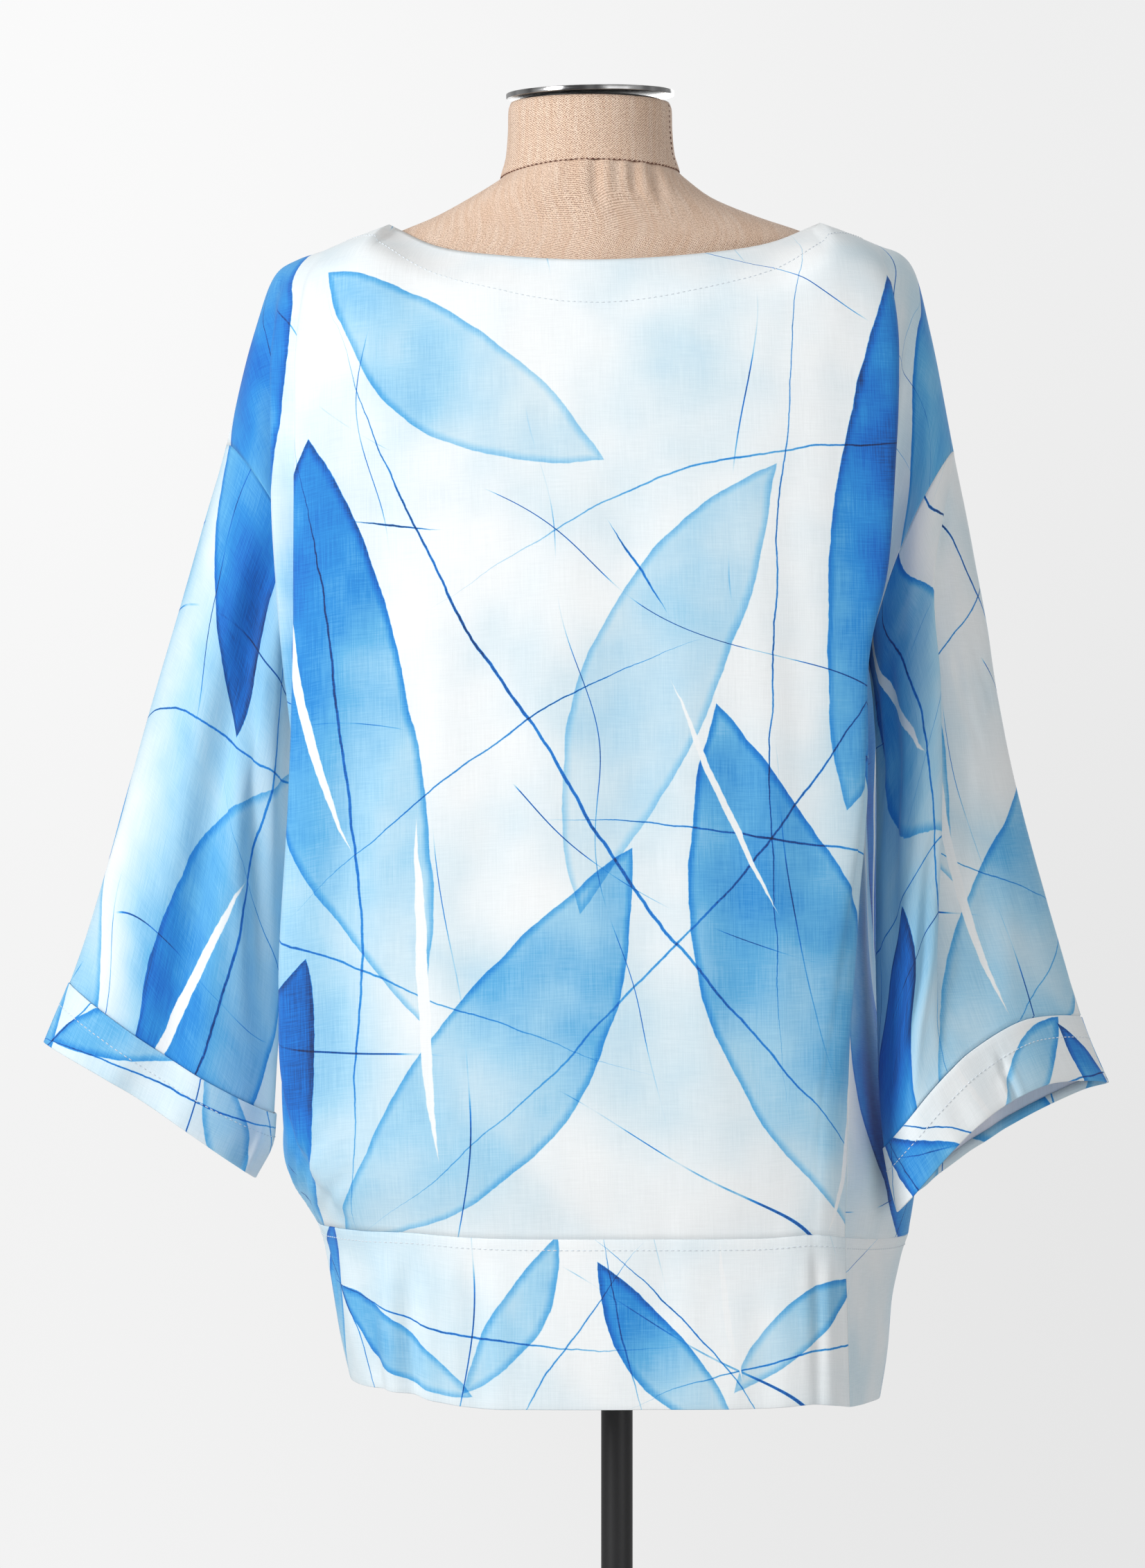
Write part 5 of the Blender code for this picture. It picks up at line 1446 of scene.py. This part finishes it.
pole = turned("post", [(POLE_RADIUS, TORSO[0].z * CM), (POLE_RADIUS, COLLAR_TOP),
                       *profile(COLLAR_RADIUS, COLLAR_HEIGHT, COLLAR_SHARES, BASE_HEIGHT)], black)
base = turned("foot", [(CROWN_RADIUS, BASE_HEIGHT), *profile(BASE_RADIUS, BASE_HEIGHT, CROWN_SHARES),
                       *profile(BASE_RADIUS, BASE_EDGE, RIM_SHARES)], black, sides=FORM_SIDES)


# ================================================================ stitches
white_thread = thread_material("white_thread", shade(224, 232, 238), 0.6)
brown_thread = thread_material("brown_thread", shade(104, 62, 48), 0.7)
Thread = namedtuple("Thread", "length gap radius lift")
TOPSTITCH = Thread(0.0025, 0.0013, 0.00030, 0.0001)
SEAM_STITCH = Thread(0.0022, 0.0014, 0.00045, 0.0)
THREAD_SIDES = 6
# The rings of one stitch: their place along it, their size, and how high they lie over the cloth.
StitchRing = namedtuple("StitchRing", "along size height")
STITCH = [StitchRing(0.0, 0.4, -1.0), StitchRing(0.2, 1.0, 0.3), StitchRing(0.8, 1.0, 0.3),
          StitchRing(1.0, 0.4, -1.0)]
FACING = 0.033  # from the neckline to its row of stitches
FACING_ROWS = 24  # of the panel's grid, in which that row lies
THREAD_DEPTH = 0.3  # how far into the neck seam's dip its thread lies
HEM_LINE, CUFF_LINE = 0.0065, 0.015  # from the seam of the hem band or cuff to its row of stitches


def reached(fields, run, row, columns, distance):
    """Each field at the distance, which run reaches between the row and the one before it."""
    low, high = run[row - 1, columns], run[row, columns]
    share = ((distance - low) / (high - low))[:, None]
    return [values[row - 1, columns] * (1 - share) + values[row, columns] * share for values in fields]


def level_line(grid, distance, sign, closed=False):
    """Points and normals on a grid, at a distance from its first row."""
    run = arc(grid)
    row = np.clip((run < distance).sum(axis=0), 1, len(grid) - 1)
    normals = grid_normals(grid, closed, sign)
    return reached((grid, normals), run, row, np.arange(grid.shape[1]), distance)


def facing_line(grid, distance, sign):
    """Points and normals at a distance from the neckline, which is part of the grid's last row."""
    first, last = corner_columns(ACROSS)
    rows, normals = (values[::-1][:FACING_ROWS] for values in (grid, grid_normals(grid, sign=sign)))
    away = np.linalg.norm(rows[:, :, None] - grid[-1, first:last + 1], axis=-1).min(axis=-1)
    columns = np.flatnonzero(away[0] < distance)
    row = (away[:, columns] < distance).argmin(axis=0)
    return reached((rows, normals), away, row, columns, distance)


def one_stitch(spots, up, thread):
    """The vertices of a stitch, from its rings' places on the cloth and the normals there."""
    way = spots[-1] - spots[0]
    side = np.cross(way / np.linalg.norm(way), up)
    turn = 2 * np.pi * np.arange(THREAD_SIDES) / THREAD_SIDES
    vertices = []
    for i, ring in enumerate(STITCH):
        centre = spots[i] + up[i] * (thread.lift + ring.height * thread.radius)
        radius = thread.radius * ring.size
        vertices += [centre + radius * (up[i] * np.sin(a) + side[i] * np.cos(a)) for a in turn]
    return vertices


def stitches(name, line, thread, material, closed=False):
    """A row of running stitches along points on cloth, as one mesh."""
    points, normals = line
    if closed:
        points, normals = (np.concatenate([values, values[:1]]) for values in (points, normals))
    run = arc(points)
    faces_of_one = grid_faces(len(STITCH), THREAD_SIDES, True)
    vertices, faces = [], []
    for start in np.arange(0.0, run[-1] - thread.length, thread.length + thread.gap):
        marks = start + thread.length * np.array([ring.along for ring in STITCH])
        spots, up = (np.stack([np.interp(marks, run, values[:, k]) for k in range(3)], axis=1)
                     for values in (points, normals))
        faces += (faces_of_one + len(vertices)).tolist()
        vertices += one_stitch(spots, up, thread)
    item = build_mesh(name, vertices, faces)
    item.data.materials.append(material)
    return item


def topstitch(name, line, closed=False):
    return stitches(name, line, TOPSTITCH, white_thread, closed)


neck_seam = arched(oval(dipped(TORSO[-1], SEAM_DIP * THREAD_DEPTH, 0.0)), 1.0)
outward = neck_seam - neck_seam.mean(axis=0)
outward /= np.linalg.norm(outward, axis=1, keepdims=True)
neck_stitches = stitches("neck_seam_stitches", (neck_seam, outward), SEAM_STITCH, brown_thread, True)
neck_side = np.array([ring[SIDE_COLUMN] for ring in neck_rings()])
side_stitches = stitches("neck_side_stitches", (neck_side, np.tile([1.0, 0.0, 0.0], (len(neck_side), 1))),
                         SEAM_STITCH, brown_thread)
back_stitches = topstitch("back_neck_stitches", facing_line(back, FACING, 1))
front_stitches = topstitch("front_neck_stitches", facing_line(front, FACING, -1))
back_hem_stitches = topstitch("back_hem_stitches", level_line(back_band, HEM_LINE, -1))
front_hem_stitches = topstitch("front_hem_stitches", level_line(front_band, HEM_LINE, 1))
left_cuff_stitches = topstitch("left_cuff_stitches", level_line(left_cuff, CUFF_LINE, -1, True), True)
right_cuff_stitches = topstitch("right_cuff_stitches", level_line(right_cuff, CUFF_LINE, 1, True), True)


# ================================================================ what stands for what
Cut = namedtuple("Cut", "item node stitches width length area rests_on")
CUTS = [
    Cut(back_cloth, "back_panel", [back_stitches], 0.765, 0.750, 0.379, ["form_torso"]),
    Cut(front_cloth, "front_panel", [front_stitches], 0.780, 0.738, 0.411, ["form_torso"]),
    Cut(left_sleeve_cloth, "sleeve_left", [], 0.417, 0.384, 0.125, ["back_panel"]),
    Cut(right_sleeve_cloth, "sleeve_right", [], 0.418, 0.426, 0.122, ["back_panel"]),
    Cut(left_cuff_cloth, "cuff_left", [left_cuff_stitches], 0.410, 0.062, 0.022, ["sleeve_left"]),
    Cut(right_cuff_cloth, "cuff_right", [right_cuff_stitches], 0.447, 0.064, 0.0245, ["sleeve_right"]),
    Cut(back_hem, "hem_band_back", [back_hem_stitches], 0.447, 0.127, 0.054, ["back_panel"]),
    Cut(front_hem, "hem_band_front", [front_hem_stitches], 0.635, 0.128, 0.076, ["front_panel"]),
]

for cut in CUTS:
    slot = "print" if cut.node.startswith(("back", "front", "sleeve")) else "small_print"
    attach(cut.item, "root")
    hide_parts(cut.node)
    for row in cut.stitches:
        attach(row, "root")

for item, nodes, slot in ((torso, ["form_torso"], "linen"), (neck, ["form_neck"], "linen"),
                          (neck_stitches, [], "linen"), (side_stitches, [], "linen"),
                          (plate, ["neck_plate"], "black_metal"),
                          (disc, ["neck_disc"], "steel"), (pole, ["pole"], "black_metal"),
                          (base, ["base"], "black_metal")):
    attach(item, "root")
    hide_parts(*nodes)


# ================================================================ studio
def dome_material():
    """The glowing backdrop: a pale grey with painted shade that makes it a little darker to the right and
    below.
    """
    made = bpy.data.materials.new("backdrop")
    made.use_nodes = True
    tree = made.node_tree
    tree.nodes.remove(tree.nodes["Principled BSDF"])
    net = Net(tree)
    across, _, upward = net.axes(net.place())
    # painted shade: the glow falls off to the right and downwards
    level = net.calc("ADD", net.step(across, -4.1, 4.1, 0.94, 0.835),
                     net.step(upward, -1.7, 5.2, -0.045, 0.02))
    glow = net.add("Emission", {"Color": (1.0, 1.0, 1.0, 1.0), "Strength": level})
    tree.links.new(glow, tree.nodes["Material Output"].inputs["Surface"])
    return made


def floor_material(radius):
    """A pale floor that fades away towards its edge."""
    made, net, shader = plain_material("floor", shade(236, 236, 236), 0.7)
    reach = net.from_axis(net.place())
    net.tree.links.new(net.step(reach, radius * 0.2, radius * 0.95, 0.42, 0.0), shader.inputs["Alpha"])
    return made


Lamp = namedtuple("Lamp", "name place target size power")
LAMPS = [
    Lamp("key", (-2.5, -2.2, 2.0), (0.0, 0.0, 1.1), (1.2, 1.6), 86.0),
    Lamp("top", (-0.6, -1.0, 3.2), (0.0, 0.0, 1.3), (1.6, 1.6), 6.5),
    Lamp("behind", (0.8, 3.2, 1.6), (0.0, 0.0, 1.1), (2.0, 2.0), 38.0),
    Lamp("fill", (2.2, -2.8, 1.2), (0.0, 0.0, 1.1), (2.0, 2.0), 18.0),
]


def area_light(lamp):
    """A white panel of light that the camera doesn't see."""
    light = bpy.data.lights.new(lamp.name, "AREA")
    light.shape = "RECTANGLE"
    light.size, light.size_y = lamp.size
    light.energy = lamp.power
    item = link(bpy.data.objects.new(lamp.name, light))
    item.location = lamp.place
    item.rotation_euler = (Vector(lamp.target) - Vector(lamp.place)).to_track_quat("-Z", "Y").to_euler()
    item.visible_camera = False


DOME_RADIUS = 30.0
FLOOR_RADIUS, FLOOR_TOP, FLOOR_THICK = 2.6, -0.0005, 0.0005
DAYLIGHT = 0.42
LENS = 168.67  # millimetres, on a sensor 36 mm wide
CAMERA_PLACE = (-0.0298, -3.6, 1.0819)
bpy.ops.mesh.primitive_uv_sphere_add(segments=64, ring_count=32, radius=DOME_RADIUS)
dome = bpy.context.object
dome.name = "backdrop"
dome.data.materials.append(dome_material())
dome.visible_diffuse = dome.visible_glossy = dome.visible_transmission = dome.visible_shadow = False
floor = turned("floor", [(FLOOR_RADIUS, FLOOR_TOP), (FLOOR_RADIUS, FLOOR_TOP - FLOOR_THICK)],
               floor_material(FLOOR_RADIUS))

scene = bpy.context.scene
scene.view_settings.view_transform = "Standard"
world = bpy.data.worlds.new("studio")
scene.world = world
world.use_nodes = True
daylight = world.node_tree.nodes["Background"]
daylight.inputs["Color"].default_value = (1.0, 1.0, 1.0, 1.0)
daylight.inputs["Strength"].default_value = DAYLIGHT
for lamp in LAMPS:
    area_light(lamp)

eye = bpy.data.cameras.new("camera")
eye.lens = LENS
eye.sensor_width = 36.0
eye.sensor_fit = "HORIZONTAL"
camera = link(bpy.data.objects.new("camera", eye))
camera.location = CAMERA_PLACE
camera.rotation_euler = (np.pi / 2, 0.0, 0.0)
scene.camera = camera
